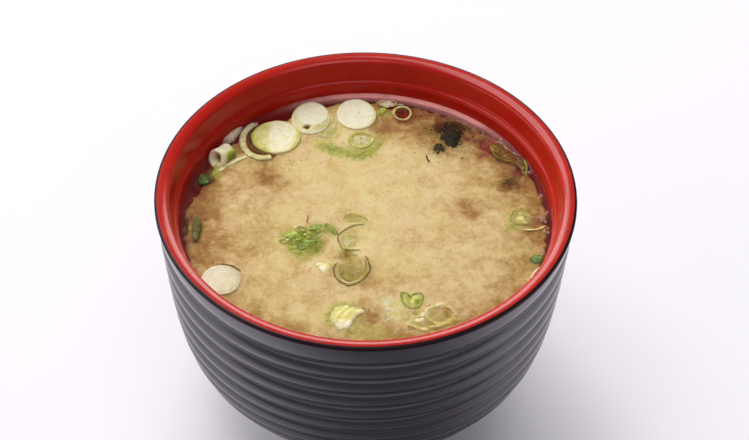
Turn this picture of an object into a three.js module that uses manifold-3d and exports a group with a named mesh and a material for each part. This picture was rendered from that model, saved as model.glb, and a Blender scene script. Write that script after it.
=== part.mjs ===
// Miso soup in its ribbed lacquer bowl, with sliced scallion and wakame floating on it.
// Millimetres, +Z up. The origin is on the ground, under the middle of the bowl.
import * as THREE from 'three';
import { mergeVertices } from 'three/addons/utils/BufferGeometryUtils.js';
import Module from 'manifold-3d';

const wasm = await Module();
wasm.setup();

// Bowl, with depths measured down from the rim.
const HEIGHT = 68;
const RIM_RADIUS = 57.5;
const LIP_WIDTH = 3.45;
const LIP_DROP = 1.5;
const WALL_TAPER = 0.09;
const BELLY_DEPTH = 64.5;
const BELLY_POWER = 5.5;
const BELLY_ROOT = 5;
const FIRST_GROOVE_DEPTH = 8.4;
const RIB_COUNT = 10;
const RIB_WIDTH = 6.45;
const RIB_SHRINK = 0.19;
const RIB_RELIEF = 0.6;
const SHOULDER_DEPTH = 6.2;
const SHOULDER_RADIUS = 52.4;
const SHOULDER_DROP = 1.3;
const SEAT_RADIUS = 51.45;
const FLOOR_DEPTH = 59.5;
const FOOT_HEIGHT = 4.6;
const FOOT_RADIUS = 30;
const FOOT_WIDTH = 3.4;
const FOOT_DRAFT = 0.6;
const FOOT_RECESS = 3.5;
const TURN_STEPS = 40;
const LIP_STEPS = 4;
const BAND_TOP_DEPTH = 2.5;
const BAND_FOOT_DEPTH = 6.9;
const BEAD_SHARES = [0.3, 0.75];
const GROOVE_STEP = 0.05;

// Soup
const SOUP_DEPTH = 11.2;
const SOUP_RADIUS = 51.2;
const SOUP_ROWS = 7;
const SOUP_LEVEL = HEIGHT - SOUP_DEPTH;
const GAP = 0.3;

// Colours
const BLACK_LACQUER = 0x2e2b31;
const MISO = 0xd9bd84;
const WHITE_SCALLION = 0xe9e2cf;
const PALE_SCALLION = 0xd8cf9f;
const GREEN_SCALLION = 0x7fa143;
const OLIVE_SCALLION = 0x8a8a4c;
const DARK_SCALLION = 0x35582f;
const WAKAME = 0x1f2a22;
const LACQUER_ROUGHNESS = 0.4;
const SOUP_ROUGHNESS = 0.25;
const WET_ROUGHNESS = 0.45;
const WELD = 1e-4;

const part = new THREE.Group();

function addMesh(name, geometry, colour, roughness) {
  const material = new THREE.MeshStandardMaterial({ color: colour, roughness, metalness: 0 });
  const mesh = new THREE.Mesh(geometry, material);
  mesh.name = name;
  part.add(mesh);
  return mesh;
}

// A wall that tapers evenly and then rounds in to close at its belly depth.
function roundedWall(topRadius, depth, closingDepth) {
  const rounding = (1 - (depth / closingDepth) ** BELLY_POWER) ** (1 / BELLY_ROOT);
  return (topRadius - WALL_TAPER * depth) * rounding;
}

function outerRadius(depth) {
  return roundedWall(RIM_RADIUS, depth, BELLY_DEPTH);
}

function innerRadius(depth) {
  const topRadius = SOUP_RADIUS + WALL_TAPER * SOUP_DEPTH;
  return Math.min(roundedWall(topRadius, depth, FLOOR_DEPTH), SOUP_RADIUS);
}

function pointAt(radius, depth) {
  return new THREE.Vector2(radius, HEIGHT - depth);
}

// Depths of the grooves: each rib takes its width along the wall, a little less than the one above.
function grooveDepths() {
  const depths = [FIRST_GROOVE_DEPTH];
  let depth = FIRST_GROOVE_DEPTH;
  for (let rib = 0; rib < RIB_COUNT; rib += 1) {
    let left = RIB_WIDTH - rib * RIB_SHRINK;
    while (left > 0 && outerRadius(depth + GROOVE_STEP) > FOOT_RADIUS + FOOT_WIDTH) {
      left -= Math.hypot(GROOVE_STEP, outerRadius(depth + GROOVE_STEP) - outerRadius(depth));
      depth += GROOVE_STEP;
    }
    depths.push(depth);
  }
  return depths;
}

// The grooves are sunk below the wall, and each rib between two of them is a bead.
function ribbedProfile() {
  const depths = grooveDepths();
  const points = [BAND_TOP_DEPTH, BAND_FOOT_DEPTH].map((depth) => pointAt(outerRadius(depth), depth));
  for (let rib = 0; rib < RIB_COUNT; rib += 1) {
    const above = depths[rib];
    const below = depths[rib + 1];
    points.push(pointAt(outerRadius(above) - RIB_RELIEF, above));
    for (const share of BEAD_SHARES) {
      const depth = above + share * (below - above);
      const sink = RIB_RELIEF * (2 * share - 1) ** 2;
      points.push(pointAt(outerRadius(depth) - sink, depth));
    }
  }
  const last = depths[RIB_COUNT];
  points.push(pointAt(outerRadius(last) - RIB_RELIEF, last));
  return points;
}

// The round lip, from its inner edge over the top to its outer edge.
function lipProfile() {
  const half = LIP_WIDTH / 2;
  const middle = RIM_RADIUS - half;
  const points = [];
  for (let i = 0; i <= LIP_STEPS; i += 1) {
    const angle = Math.PI * (1 - i / LIP_STEPS);
    points.push(pointAt(middle + half * Math.cos(angle), LIP_DROP * (1 - Math.sin(angle))));
  }
  return points;
}

// Rows of the inner wall below the soup's level, closer together towards the floor.
function wellRows() {
  const rows = [];
  for (let i = 0; i <= SOUP_ROWS; i += 1) {
    const depth = SOUP_DEPTH + (FLOOR_DEPTH - SOUP_DEPTH) * Math.sin((i / SOUP_ROWS) * Math.PI / 2);
    rows.push({ radius: i === SOUP_ROWS ? 0 : innerRadius(depth), depth });
  }
  return rows;
}

// A profile turned about the Z axis.
function turned(profile) {
  const geometry = new THREE.LatheGeometry(profile, TURN_STEPS);
  geometry.rotateX(Math.PI / 2);
  return geometry;
}

function bowlGeometry() {
  const well = wellRows().reverse().map((row) => pointAt(row.radius, row.depth));
  const shoulder = [
    pointAt(SEAT_RADIUS, SHOULDER_DEPTH + SHOULDER_DROP),
    pointAt(SHOULDER_RADIUS, SHOULDER_DEPTH),
  ];
  const foot = [
    new THREE.Vector2(FOOT_RADIUS, FOOT_HEIGHT),
    new THREE.Vector2(FOOT_RADIUS - FOOT_DRAFT, 0),
    new THREE.Vector2(FOOT_RADIUS - FOOT_WIDTH + FOOT_DRAFT, 0),
    new THREE.Vector2(FOOT_RADIUS - FOOT_WIDTH, FOOT_RECESS),
    new THREE.Vector2(0, FOOT_RECESS),
  ];
  const profile = [...well, ...shoulder, ...lipProfile(), ...ribbedProfile(), ...foot];
  return turned(profile.reverse());
}

function soupGeometry() {
  const rows = wellRows().map((row, i) => {
    const radius = Math.max(row.radius - GAP, 0);
    const depth = i === 0 ? row.depth : row.depth - GAP;
    return pointAt(radius, depth);
  });
  return turned([new THREE.Vector2(0, SOUP_LEVEL), ...rows].reverse());
}

// Outlines of the garnish, anticlockwise round their own middle.

// An ellipse that is narrower at one end by its egg share.
function eggOutline(width, length, egg, steps) {
  const points = [];
  for (let i = 0; i < steps; i += 1) {
    const angle = (i / steps) * 2 * Math.PI;
    const along = Math.sin(angle);
    const across = Math.cos(angle) * (1 + egg * along);
    points.push(new THREE.Vector2(across * width / 2, along * length / 2));
  }
  return points;
}

// Two lobes that meet in a notch at the top and a blunt point at the bottom.
function heartOutline(width, length, steps) {
  const notchDepth = 0.42;
  const notchSpread = 1.5;
  const pointTaper = 0.3;
  const points = [];
  for (let i = 0; i < steps; i += 1) {
    const angle = (i / steps) * 2 * Math.PI + Math.PI / 2;
    const fromNotch = Math.min(i, steps - i);
    const along = Math.sin(angle) * (1 - notchDepth * Math.exp(-((fromNotch / notchSpread) ** 2)));
    const across = Math.cos(angle) * (1 + pointTaper * Math.sin(angle));
    points.push(new THREE.Vector2(across * width / 2, along * length / 2));
  }
  return points;
}

// A band of even width that follows part of an egg's outline, from one angle to another.
function arcOutline(width, length, egg, wall, from, to, steps) {
  const outer = [];
  const inner = [];
  for (let i = 0; i <= steps; i += 1) {
    const angle = THREE.MathUtils.degToRad(from + (to - from) * (i / steps));
    const along = Math.sin(angle);
    const across = Math.cos(angle) * (1 + egg * along);
    outer.push(new THREE.Vector2(across * width / 2, along * length / 2));
    inner.push(new THREE.Vector2(across * (width / 2 - wall), along * (length / 2 - wall)));
  }
  return [...outer, ...inner.reverse()];
}

// A strip along Y whose middle is bowed aside, with softly cut ends.
function stripOutline(width, length, bow, steps) {
  const endTaper = 0.35;
  const right = [];
  const left = [];
  for (let i = 0; i <= steps; i += 1) {
    const share = (i / steps) * 2 - 1;
    const middle = bow * (1 - share * share);
    const half = (width / 2) * (1 - endTaper * share ** 4);
    right.push(new THREE.Vector2(middle + half, share * length / 2));
    left.push(new THREE.Vector2(middle - half, share * length / 2));
  }
  return [...right, ...left.reverse()];
}

// A chopped bit with straight cuts, its corners at uneven distances.
function chopOutline(width, length, corners) {
  const unevenness = 0.1;
  const turnOfUnevenness = 3.7;
  const points = [];
  for (let i = 0; i < corners; i += 1) {
    const angle = ((i + 0.5) / corners) * 2 * Math.PI;
    const reach = (1 + unevenness * Math.sin(turnOfUnevenness * i + corners)) / 2;
    points.push(new THREE.Vector2(Math.cos(angle) * reach * width, Math.sin(angle) * reach * length));
  }
  return points;
}

// A ragged leaf: a small core with lobes, each with its own direction, reach and spread.
function leafOutline(core, lobes, steps) {
  const points = [];
  for (let i = 0; i < steps; i += 1) {
    const angle = (i / steps) * 360;
    let reach = core;
    for (const lobe of lobes) {
      const turned = Math.abs(angle - lobe.toward);
      const away = Math.min(turned, 360 - turned);
      reach += (lobe.reach - core) * Math.exp(-((away / lobe.spread) ** 2));
    }
    const radians = THREE.MathUtils.degToRad(angle);
    points.push(new THREE.Vector2(Math.cos(radians) * reach, Math.sin(radians) * reach));
  }
  return points;
}

// A ring pressed flat along a curve: wide at its open end, narrower from there on, with round ends.
function squeezedOutline(spine, openWidth, closedWidth, inset, steps) {
  const openShare = 0.22;
  const openSpread = 0.3;
  const endRounding = 0.8;
  const reserve = inset / spine.getLength();
  const right = [];
  const left = [];
  for (let i = 0; i <= steps; i += 1) {
    const share = reserve + (1 - 2 * reserve) * (i / steps);
    const middle = spine.getPoint(share);
    const tangent = spine.getTangent(share);
    const side = new THREE.Vector2(tangent.y, -tangent.x);
    const open = Math.exp(-(((share - openShare) / openSpread) ** 2));
    const end = Math.sqrt(1 - endRounding * (2 * share - 1) ** 8);
    const half = ((closedWidth + (openWidth - closedWidth) * open) / 2) * end - inset;
    right.push(middle.clone().addScaledVector(side, half));
    left.push(middle.clone().addScaledVector(side, -half));
  }
  return [...right, ...left.reverse()];
}

// Moves every corner of an outline out by a distance, along the mean of its two edges' normals.
function grown(outline, distance) {
  const sharpestStretch = 0.5;
  return outline.map((corner, i) => {
    const before = outline[(i + outline.length - 1) % outline.length];
    const after = outline[(i + 1) % outline.length];
    const entering = corner.clone().sub(before).normalize();
    const leaving = after.clone().sub(corner).normalize();
    const outward = new THREE.Vector2(entering.y + leaving.y, -entering.x - leaving.x).normalize();
    const stretch = Math.max(outward.dot(new THREE.Vector2(entering.y, -entering.x)), sharpestStretch);
    return corner.clone().addScaledVector(outward, distance / stretch);
  });
}

// A flat piece of even thickness, its top at z = 0, with a hole if one is given.
function slab(outline, hole, thickness) {
  const shape = new THREE.Shape(outline);
  if (hole) {
    shape.holes.push(new THREE.Path(hole));
  }
  const geometry = new THREE.ExtrudeGeometry(shape, { depth: thickness, bevelEnabled: false });
  geometry.translate(0, 0, -thickness);
  return geometry;
}

// A solid slice with its cut edges eased.
function easedSlab(outline, thickness, easing) {
  const geometry = new THREE.ExtrudeGeometry(new THREE.Shape(outline), {
    depth: thickness - 2 * easing,
    bevelThickness: easing,
    bevelSize: easing,
    bevelOffset: -easing,
    bevelSegments: 1,
  });
  geometry.translate(0, 0, easing - thickness);
  return geometry;
}

// A block of layers cut across, its top a row of ridges along Y and its edges square.
function ridgedSlab(width, length, thickness, ridges, ridgeHeight) {
  const section = [new THREE.Vector2(width / 2, -thickness)];
  for (let i = 0; i <= 2 * ridges; i += 1) {
    const height = i % 2 === 0 ? -ridgeHeight : 0;
    section.push(new THREE.Vector2(width / 2 - (i / (2 * ridges)) * width, height));
  }
  section.push(new THREE.Vector2(-width / 2, -thickness));
  const shape = new THREE.Shape(section);
  const geometry = new THREE.ExtrudeGeometry(shape, { depth: length, bevelEnabled: false });
  geometry.translate(0, 0, -length / 2);
  geometry.rotateX(Math.PI / 2);
  return geometry;
}

// Every floating piece: where it is, how far its top stands above the soup, and its shape.
const SLICES = [
  { name: 'scallion_slice_1', at: [-25.6, 32.6], size: [14.2, 13.8], egg: 0.04, turn: 20, rise: 1.1 },
  { name: 'scallion_slice_2', at: [-16.0, 40.9], size: [9.8, 12.4], egg: -0.06, turn: 0, rise: 1.0 },
  { name: 'scallion_slice_3', at: [-2.9, 42.6], size: [11.8, 13.0], egg: -0.05, turn: 6, rise: 1.0 },
  { name: 'scallion_slice_4', at: [-38.5, -23.5], size: [10.2, 10.4], egg: 0.04, turn: 30, rise: 0.7 },
];
const SLICE_THICKNESS = 2.2;
const SLICE_EASING = 0.3;
const SLICE_STEPS = 18;

const RINGS = [
  { name: 'scallion_ring_1', at: [-1.4, 32.1], size: [6.6, 6.9], wall: 1.25, egg: 0.04, rise: 0.5 },
  { name: 'scallion_ring_2', at: [6.1, 47.4], size: [5.0, 4.0], wall: 0.8, rise: 0.5 },
  { name: 'scallion_ring_3', at: [10.4, 43.3], size: [6.1, 6.8], wall: 1.05, turn: 20, rise: 0.6 },
  { name: 'scallion_ring_4', at: [44.7, 1.5], size: [10.6, 9.0], wall: 1.2, turn: 10, rise: 0.3 },
  { name: 'scallion_ring_5', at: [-3.0, -7.1], size: [8.8, 9.4], wall: 1.1, egg: 0.05, rise: 0.2 },
  {
    name: 'scallion_ring_6',
    at: [-3.3, -19.2],
    size: [9.9, 12.4],
    wall: 1.4,
    egg: 0.16,
    turn: -11,
    rise: 0.25,
  },
  { name: 'scallion_ring_7', at: [20.4, -35.0], size: [9.4, 8.8], wall: 1.3, rise: 0.5 },
];
const RING_THICKNESS = 1.7;
const RING_STEPS = { small: 12, large: 16, largeFrom: 8 };
const PALE_FROM_WALL = 1.04;

const ARCS = [
  {
    name: 'scallion_layer_1',
    at: [-29.2, 31.4],
    size: [14.2, 16.9],
    egg: 0,
    wall: 1.7,
    from: 110,
    to: 292,
    rise: 0.8,
    steps: 12,
  },
  {
    name: 'scallion_layer_2',
    at: [-15.7, 40.0],
    size: [12.2, 16.2],
    egg: 0.3,
    wall: 0.85,
    from: 242,
    to: 394,
    rise: 0.6,
    steps: 12,
  },
];

const STRIPS = [
  { name: 'scallion_strip_1', at: [-37.4, 20.4], size: [1.5, 10.6], bow: 0.3, turn: -51, rise: 0.5 },
  { name: 'scallion_strip_2', at: [-46.2, -4.0], size: [2.6, 10.2], bow: -0.3, turn: 3, rise: 0.5 },
  { name: 'scallion_strip_3', at: [-49.1, -3.4], size: [1.6, 7.2], bow: -0.3, turn: 2, rise: 0.3 },
  { name: 'scallion_strip_4', at: [45.6, -19.9], size: [1.1, 6.4], bow: 0.5, turn: -33, rise: 0.8 },
  { name: 'scallion_strip_5', at: [13.6, -38.4], size: [1.7, 6.4], bow: -0.5, turn: 57, rise: 0.4 },
  { name: 'scallion_strip_6', at: [-9.3, -4.5], size: [1.5, 4.6], bow: 0.2, turn: 32, rise: 0.2 },
];
const STRIP_THICKNESS = 1;
const STRIP_STEPS = 6;

const CHOPS = [
  {
    name: 'scallion_chop_1',
    at: [-20.7, -7.0],
    size: [4.6, 3.8],
    corners: 6,
    turn: 10,
    rise: 0.6,
    colour: GREEN_SCALLION,
  },
  {
    name: 'scallion_chop_2',
    at: [-13.6, -3.1],
    size: [4.6, 3.6],
    corners: 5,
    turn: 30,
    rise: 0.8,
    colour: GREEN_SCALLION,
  },
  {
    name: 'scallion_chop_3',
    at: [-15.6, -8.3],
    size: [4.8, 4.0],
    corners: 6,
    turn: -20,
    rise: 0.7,
    colour: GREEN_SCALLION,
  },
  {
    name: 'scallion_chop_4',
    at: [-17.4, -12.4],
    size: [3.8, 2.8],
    corners: 5,
    turn: 15,
    rise: 0.4,
    colour: OLIVE_SCALLION,
  },
  {
    name: 'scallion_chop_5',
    at: [-11.1, -19.1],
    size: [3.6, 4.0],
    corners: 5,
    turn: 12,
    rise: 1.0,
    colour: WHITE_SCALLION,
  },
  {
    name: 'scallion_chop_6',
    at: [5.0, 43.3],
    size: [3.0, 3.4],
    corners: 7,
    turn: 0,
    rise: 0.4,
    colour: GREEN_SCALLION,
  },
  {
    name: 'scallion_chop_7',
    at: [-38.2, 31.2],
    size: [2.6, 3.6],
    corners: 6,
    turn: 30,
    rise: 1.2,
    colour: WHITE_SCALLION,
  },
  {
    name: 'scallion_chop_8',
    at: [-45.3, 15.8],
    size: [3.6, 5.6],
    corners: 8,
    turn: 20,
    rise: 0.8,
    colour: DARK_SCALLION,
  },
  {
    name: 'scallion_chop_9',
    at: [47.1, -14.2],
    size: [2.8, 3.2],
    corners: 7,
    turn: 0,
    rise: 0.5,
    colour: DARK_SCALLION,
  },
];
const CHOP_THICKNESS = 1.5;

const WEDGE = {
  name: 'scallion_wedge',
  at: [-4.8, -36.6],
  size: [7.8, 7.4],
  thickness: 2.4,
  ridges: 5,
  ridgeHeight: 0.6,
  turn: -38,
  rise: 1.1,
};

const HEART = {
  name: 'scallion_ring_8',
  at: [12.9, -30.4],
  size: [5.9, 5.5],
  wall: 0.9,
  steps: 18,
  rise: 0.4,
};

const SQUEEZED = {
  name: 'scallion_loop',
  at: [40.4, 25.3],
  spine: [[-5.3, 6.2], [-2.5, 3.0], [2.3, -1.6], [4.0, -4.0], [4.9, -8.0]],
  openWidth: 4.5,
  closedWidth: 2.3,
  wall: 0.75,
  steps: 10,
  rise: 0.8,
};

const LEAF = {
  name: 'wakame_leaf',
  at: [24.0, 34.2],
  core: 1.9,
  rise: 0.35,
  thickness: 0.9,
  steps: 28,
  lobes: [
    { toward: 22, reach: 5.2, spread: 22 },
    { toward: 88, reach: 4.4, spread: 26 },
    { toward: 148, reach: 6.0, spread: 16 },
    { toward: 232, reach: 9.6, spread: 15 },
    { toward: 290, reach: 5.2, spread: 24 },
  ],
};

// A short hollow length of scallion that lies on its side, its open end towards the wall.
const TUBE = {
  name: 'scallion_tube',
  from: [-42.8, 21.9],
  to: [-38.4, 26.9],
  radius: 2.3,
  wall: 0.8,
  axisRise: 0.7,
  steps: 14,
};

const HEADROOM = 3;
const pockets = [];

// The space that a piece takes in the soup, with a gap all round it.
function sinkPocket(mesh, outline, hole, thickness) {
  const opening = slab(grown(outline, GAP), hole && grown(hole, -GAP), thickness + GAP + HEADROOM);
  opening.translate(0, 0, HEADROOM);
  mesh.updateMatrix();
  opening.applyMatrix4(mesh.matrix);
  pockets.push(opening);
}

function floatPiece(spec, geometry, colour) {
  const mesh = addMesh(spec.name, geometry, colour, WET_ROUGHNESS);
  mesh.position.set(spec.at[0], spec.at[1], SOUP_LEVEL + spec.rise);
  mesh.rotation.z = THREE.MathUtils.degToRad(spec.turn ?? 0);
  return mesh;
}

// A flat piece with its pocket. The soup fills the hole, if there is one.
function floatSlab(spec, outline, hole, thickness, colour) {
  const mesh = floatPiece(spec, slab(outline, hole, thickness), colour);
  sinkPocket(mesh, outline, hole, thickness);
}

function addSlices() {
  for (const spec of SLICES) {
    const outline = eggOutline(spec.size[0], spec.size[1], spec.egg, SLICE_STEPS);
    const geometry = easedSlab(outline, SLICE_THICKNESS, SLICE_EASING);
    sinkPocket(floatPiece(spec, geometry, WHITE_SCALLION), outline, null, SLICE_THICKNESS);
  }
}

function addRings() {
  for (const spec of RINGS) {
    const [width, length] = spec.size;
    const large = Math.max(width, length) > RING_STEPS.largeFrom;
    const steps = large ? RING_STEPS.large : RING_STEPS.small;
    const outline = eggOutline(width, length, spec.egg ?? 0, steps);
    const colour = spec.wall > PALE_FROM_WALL ? PALE_SCALLION : GREEN_SCALLION;
    floatSlab(spec, outline, grown(outline, -spec.wall), RING_THICKNESS, colour);
  }
}

function addHeart() {
  const outline = heartOutline(HEART.size[0], HEART.size[1], HEART.steps);
  floatSlab(HEART, outline, grown(outline, -HEART.wall), RING_THICKNESS, GREEN_SCALLION);
}

function addArcs() {
  for (const spec of ARCS) {
    const [width, length] = spec.size;
    const outline = arcOutline(width, length, spec.egg, spec.wall, spec.from, spec.to, spec.steps);
    floatSlab(spec, outline, null, RING_THICKNESS, PALE_SCALLION);
  }
}

function addStrips() {
  for (const spec of STRIPS) {
    const outline = stripOutline(spec.size[0], spec.size[1], spec.bow, STRIP_STEPS);
    floatSlab(spec, outline, null, STRIP_THICKNESS, GREEN_SCALLION);
  }
}

function addChops() {
  for (const spec of CHOPS) {
    const outline = chopOutline(spec.size[0], spec.size[1], spec.corners);
    floatSlab(spec, outline, null, CHOP_THICKNESS, spec.colour);
  }
}

function addWedge() {
  const [width, length] = WEDGE.size;
  const geometry = ridgedSlab(width, length, WEDGE.thickness, WEDGE.ridges, WEDGE.ridgeHeight);
  const outline = [[1, -1], [1, 1], [-1, 1], [-1, -1]].map(
    ([x, y]) => new THREE.Vector2(x * width / 2, y * length / 2),
  );
  sinkPocket(floatPiece(WEDGE, geometry, PALE_SCALLION), outline, null, WEDGE.thickness);
}

// The loop's own slot is too narrow to hold soup, so its pocket has no hole.
function addSqueezedLoop() {
  const spine = new THREE.SplineCurve(SQUEEZED.spine.map(([x, y]) => new THREE.Vector2(x, y)));
  const { openWidth, closedWidth, wall, steps } = SQUEEZED;
  const outline = squeezedOutline(spine, openWidth, closedWidth, 0, steps);
  const hole = squeezedOutline(spine, openWidth, closedWidth, wall, steps);
  const mesh = floatPiece(SQUEEZED, slab(outline, hole, RING_THICKNESS), OLIVE_SCALLION);
  sinkPocket(mesh, outline, null, RING_THICKNESS);
}

function addLeaf() {
  floatSlab(LEAF, leafOutline(LEAF.core, LEAF.lobes, LEAF.steps), null, LEAF.thickness, WAKAME);
}

// A cylinder wall along +Z from z = 0, as a ring extruded by its length.
function tubeGeometry(radius, boreRadius, length) {
  const outline = eggOutline(2 * radius, 2 * radius, 0, TUBE.steps);
  const bore = boreRadius > 0 ? eggOutline(2 * boreRadius, 2 * boreRadius, 0, TUBE.steps) : null;
  const geometry = slab(outline, bore, length);
  geometry.translate(0, 0, length);
  return geometry;
}

function addTube() {
  const height = SOUP_LEVEL + TUBE.axisRise;
  const from = new THREE.Vector3(TUBE.from[0], TUBE.from[1], height);
  const to = new THREE.Vector3(TUBE.to[0], TUBE.to[1], height);
  const direction = to.clone().sub(from);
  const length = direction.length();
  const geometry = tubeGeometry(TUBE.radius, TUBE.radius - TUBE.wall, length);
  const mesh = addMesh(TUBE.name, geometry, PALE_SCALLION, WET_ROUGHNESS);
  mesh.position.copy(from);
  mesh.quaternion.setFromUnitVectors(new THREE.Vector3(0, 0, 1), direction.normalize());
  mesh.updateMatrix();
  const opening = tubeGeometry(TUBE.radius + GAP, 0, length + 2 * GAP);
  opening.translate(0, 0, -GAP);
  opening.applyMatrix4(mesh.matrix);
  pockets.push(opening);
}

// Cuts: a closed mesh goes to a solid and back.
function toSolid(geometry) {
  const bare = geometry.clone();
  bare.deleteAttribute('normal');
  bare.deleteAttribute('uv');
  const merged = mergeVertices(bare, WELD);
  const corners = [];
  for (let i = 0; i < merged.index.count; i += 3) {
    const [a, b, c] = [0, 1, 2].map((k) => merged.index.getX(i + k));
    if (a !== b && b !== c && c !== a) {
      corners.push(a, b, c);
    }
  }
  const vertProperties = new Float32Array(merged.attributes.position.array);
  const triVerts = new Uint32Array(corners);
  return new wasm.Manifold(new wasm.Mesh({ numProp: 3, vertProperties, triVerts }));
}

function toGeometry(solid) {
  const mesh = solid.getMesh();
  const geometry = new THREE.BufferGeometry();
  geometry.setAttribute('position', new THREE.BufferAttribute(new Float32Array(mesh.vertProperties), 3));
  geometry.setIndex(new THREE.BufferAttribute(new Uint32Array(mesh.triVerts), 1));
  geometry.computeVertexNormals();
  return geometry;
}

function addSoup() {
  let soup = toSolid(soupGeometry());
  for (const pocket of pockets) {
    soup = soup.subtract(toSolid(pocket));
  }
  addMesh('soup', toGeometry(soup), MISO, SOUP_ROUGHNESS);
}

addMesh('bowl', bowlGeometry(), BLACK_LACQUER, LACQUER_ROUGHNESS);
addSlices();
addRings();
addHeart();
addArcs();
addStrips();
addChops();
addWedge();
addSqueezedLoop();
addLeaf();
addTube();
addSoup();

export default part;
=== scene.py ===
"""Miso soup in its ribbed lacquer bowl, with the scallion and wakame that float on it.

Lengths are millimetres until a mesh is written, and then metres. The origin is on the ground under
the middle of the bowl, and the camera looks from -Y. Every piece is a surface worked out on a grid.
"""

import math

import bpy
import numpy as np
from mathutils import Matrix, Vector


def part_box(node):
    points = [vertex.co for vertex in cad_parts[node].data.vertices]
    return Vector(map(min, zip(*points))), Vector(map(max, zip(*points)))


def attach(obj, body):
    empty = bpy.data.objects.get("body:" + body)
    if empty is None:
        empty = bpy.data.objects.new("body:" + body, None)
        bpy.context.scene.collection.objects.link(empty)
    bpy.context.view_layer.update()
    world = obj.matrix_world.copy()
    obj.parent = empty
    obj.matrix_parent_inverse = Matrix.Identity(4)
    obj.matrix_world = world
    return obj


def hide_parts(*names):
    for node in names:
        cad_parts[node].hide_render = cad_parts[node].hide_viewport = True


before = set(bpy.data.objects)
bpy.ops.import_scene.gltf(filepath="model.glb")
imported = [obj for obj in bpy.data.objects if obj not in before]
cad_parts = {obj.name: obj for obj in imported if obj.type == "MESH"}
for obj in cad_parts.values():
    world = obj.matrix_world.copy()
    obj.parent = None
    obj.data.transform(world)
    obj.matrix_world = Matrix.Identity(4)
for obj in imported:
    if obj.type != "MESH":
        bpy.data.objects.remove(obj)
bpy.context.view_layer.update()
MM = 0.001

# ---------------------------------------------------------------------------------- sizes
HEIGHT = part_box("bowl")[1].z / MM
RIM_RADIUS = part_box("bowl")[1].x / MM
SOUP_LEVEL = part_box("soup")[1].z / MM
SOUP_DEPTH = HEIGHT - SOUP_LEVEL
SOUP_RADIUS = 51.2

# The bowl's wall, as depths below the rim and radii.
LIP_CREST = 56.5
LIP_INSIDE = 53.8
LIP_START = 0.3
LIP_HOLLOW = 0.115
LIP_EDGE = 1.1
LIP_POWER = 4.5
RED_RADIUS = 56.75
WALL_TAPER = 0.09
BELLY_DEPTH = 64.5
BELLY_POWER = 5.5
BELLY_ROOT = 5
FIRST_GROOVE_DEPTH = 8.4
RIB_COUNT = 10
RIB_WIDTH = 6.45
RIB_SHRINK = 0.19
RIB_RELIEF = 0.95
SHOULDER_DEPTH = 6.2
SHOULDER_RADIUS = 52.6
SHOULDER_DROP = 0.9
SHOULDER_BEND = 0.75
CORNER_IN = 0.25
CORNER_DOWN = 0.35
SEAT_RADIUS = 51.4
FLOOR_DEPTH = 59.5
FOOT_HEIGHT = 4.6
FOOT_RADIUS = 30
FOOT_WIDTH = 3.4
FOOT_DRAFT = 0.6
FOOT_RECESS = 3.5
FOOT_BEND = 0.5
# Points round the bowl, down the well, on each side of the lip's crest, on the plain band and on a rib.
TURN_STEPS = 256
WELL_STEPS = 26
LIP_STEPS = 16
BAND_STEPS = 18
RIB_STEPS = 15

# The camera, from the rim's centre.
CAMERA_DISTANCE = 655.8
CAMERA_ELEVATION = 44.43
CAMERA_YAW = 0.213
CAMERA_PITCH = -0.689
CAMERA_ROLL = 0.542
SENSOR_WIDTH = 36.0
LENS = 115.84


# ---------------------------------------------------------------------------------- numbers
def smooth(low, high, value):
    """0 below low, 1 above high and 3t^2 - 2t^3 between them."""
    t = np.clip((value - low) / (high - low), 0, 1)
    return t * t * (3 - 2 * t)


def bell(distance, width):
    """exp(-(distance / width)^2)."""
    return np.exp(-((distance / width) ** 2))


def power(value, exponent):
    """|value|^exponent with the sign of value, which squares up a circle or rounds off a box."""
    return np.sign(value) * np.abs(value) ** exponent


# Large odd numbers that scramble a corner's three whole numbers, its seed, and then the bits of their sum.
CORNER_SCRAMBLE = np.array([374761393, 668265263, 1274126177])
SEED_SCRAMBLE = 144665
BIT_SCRAMBLE = 1103515245
# How far each octave of noise is moved from the one before it.
OCTAVE_SHIFT = 17.3


def lattice(corner, seed):
    """A number from 0 to 1 that whole-numbered corners always get alike, by scrambling their bits."""
    mixed = corner @ CORNER_SCRAMBLE + seed * SEED_SCRAMBLE
    mixed = (mixed ^ (mixed >> 13)) * BIT_SCRAMBLE
    mixed = mixed ^ (mixed >> 16)
    return (mixed & 0xFFFF) / 0xFFFF


def noise(points, size, seed=0, octaves=1, gain=0.5):
    """Soft noise from -1 to 1: lattice numbers blended across cubes of the size, with finer ones added."""
    points = np.asarray(points, float)
    if points.shape[-1] == 2:
        points = np.concatenate([points, np.zeros_like(points[..., :1])], -1)
    total, weight, reach = 0.0, 1.0, 0.0
    for octave in range(octaves):
        place = points / size * 2**octave + OCTAVE_SHIFT * octave
        base = np.floor(place).astype(np.int64)
        t = place - base
        t = t * t * (3 - 2 * t)
        value = 0.0
        for corner in np.ndindex(2, 2, 2):
            share = np.prod(np.where(corner, t, 1 - t), -1)
            value = value + share * lattice(base + np.array(corner), seed + octave)
        total = total + weight * (2 * value - 1)
        reach += weight
        weight *= gain
    return total / reach


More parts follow.
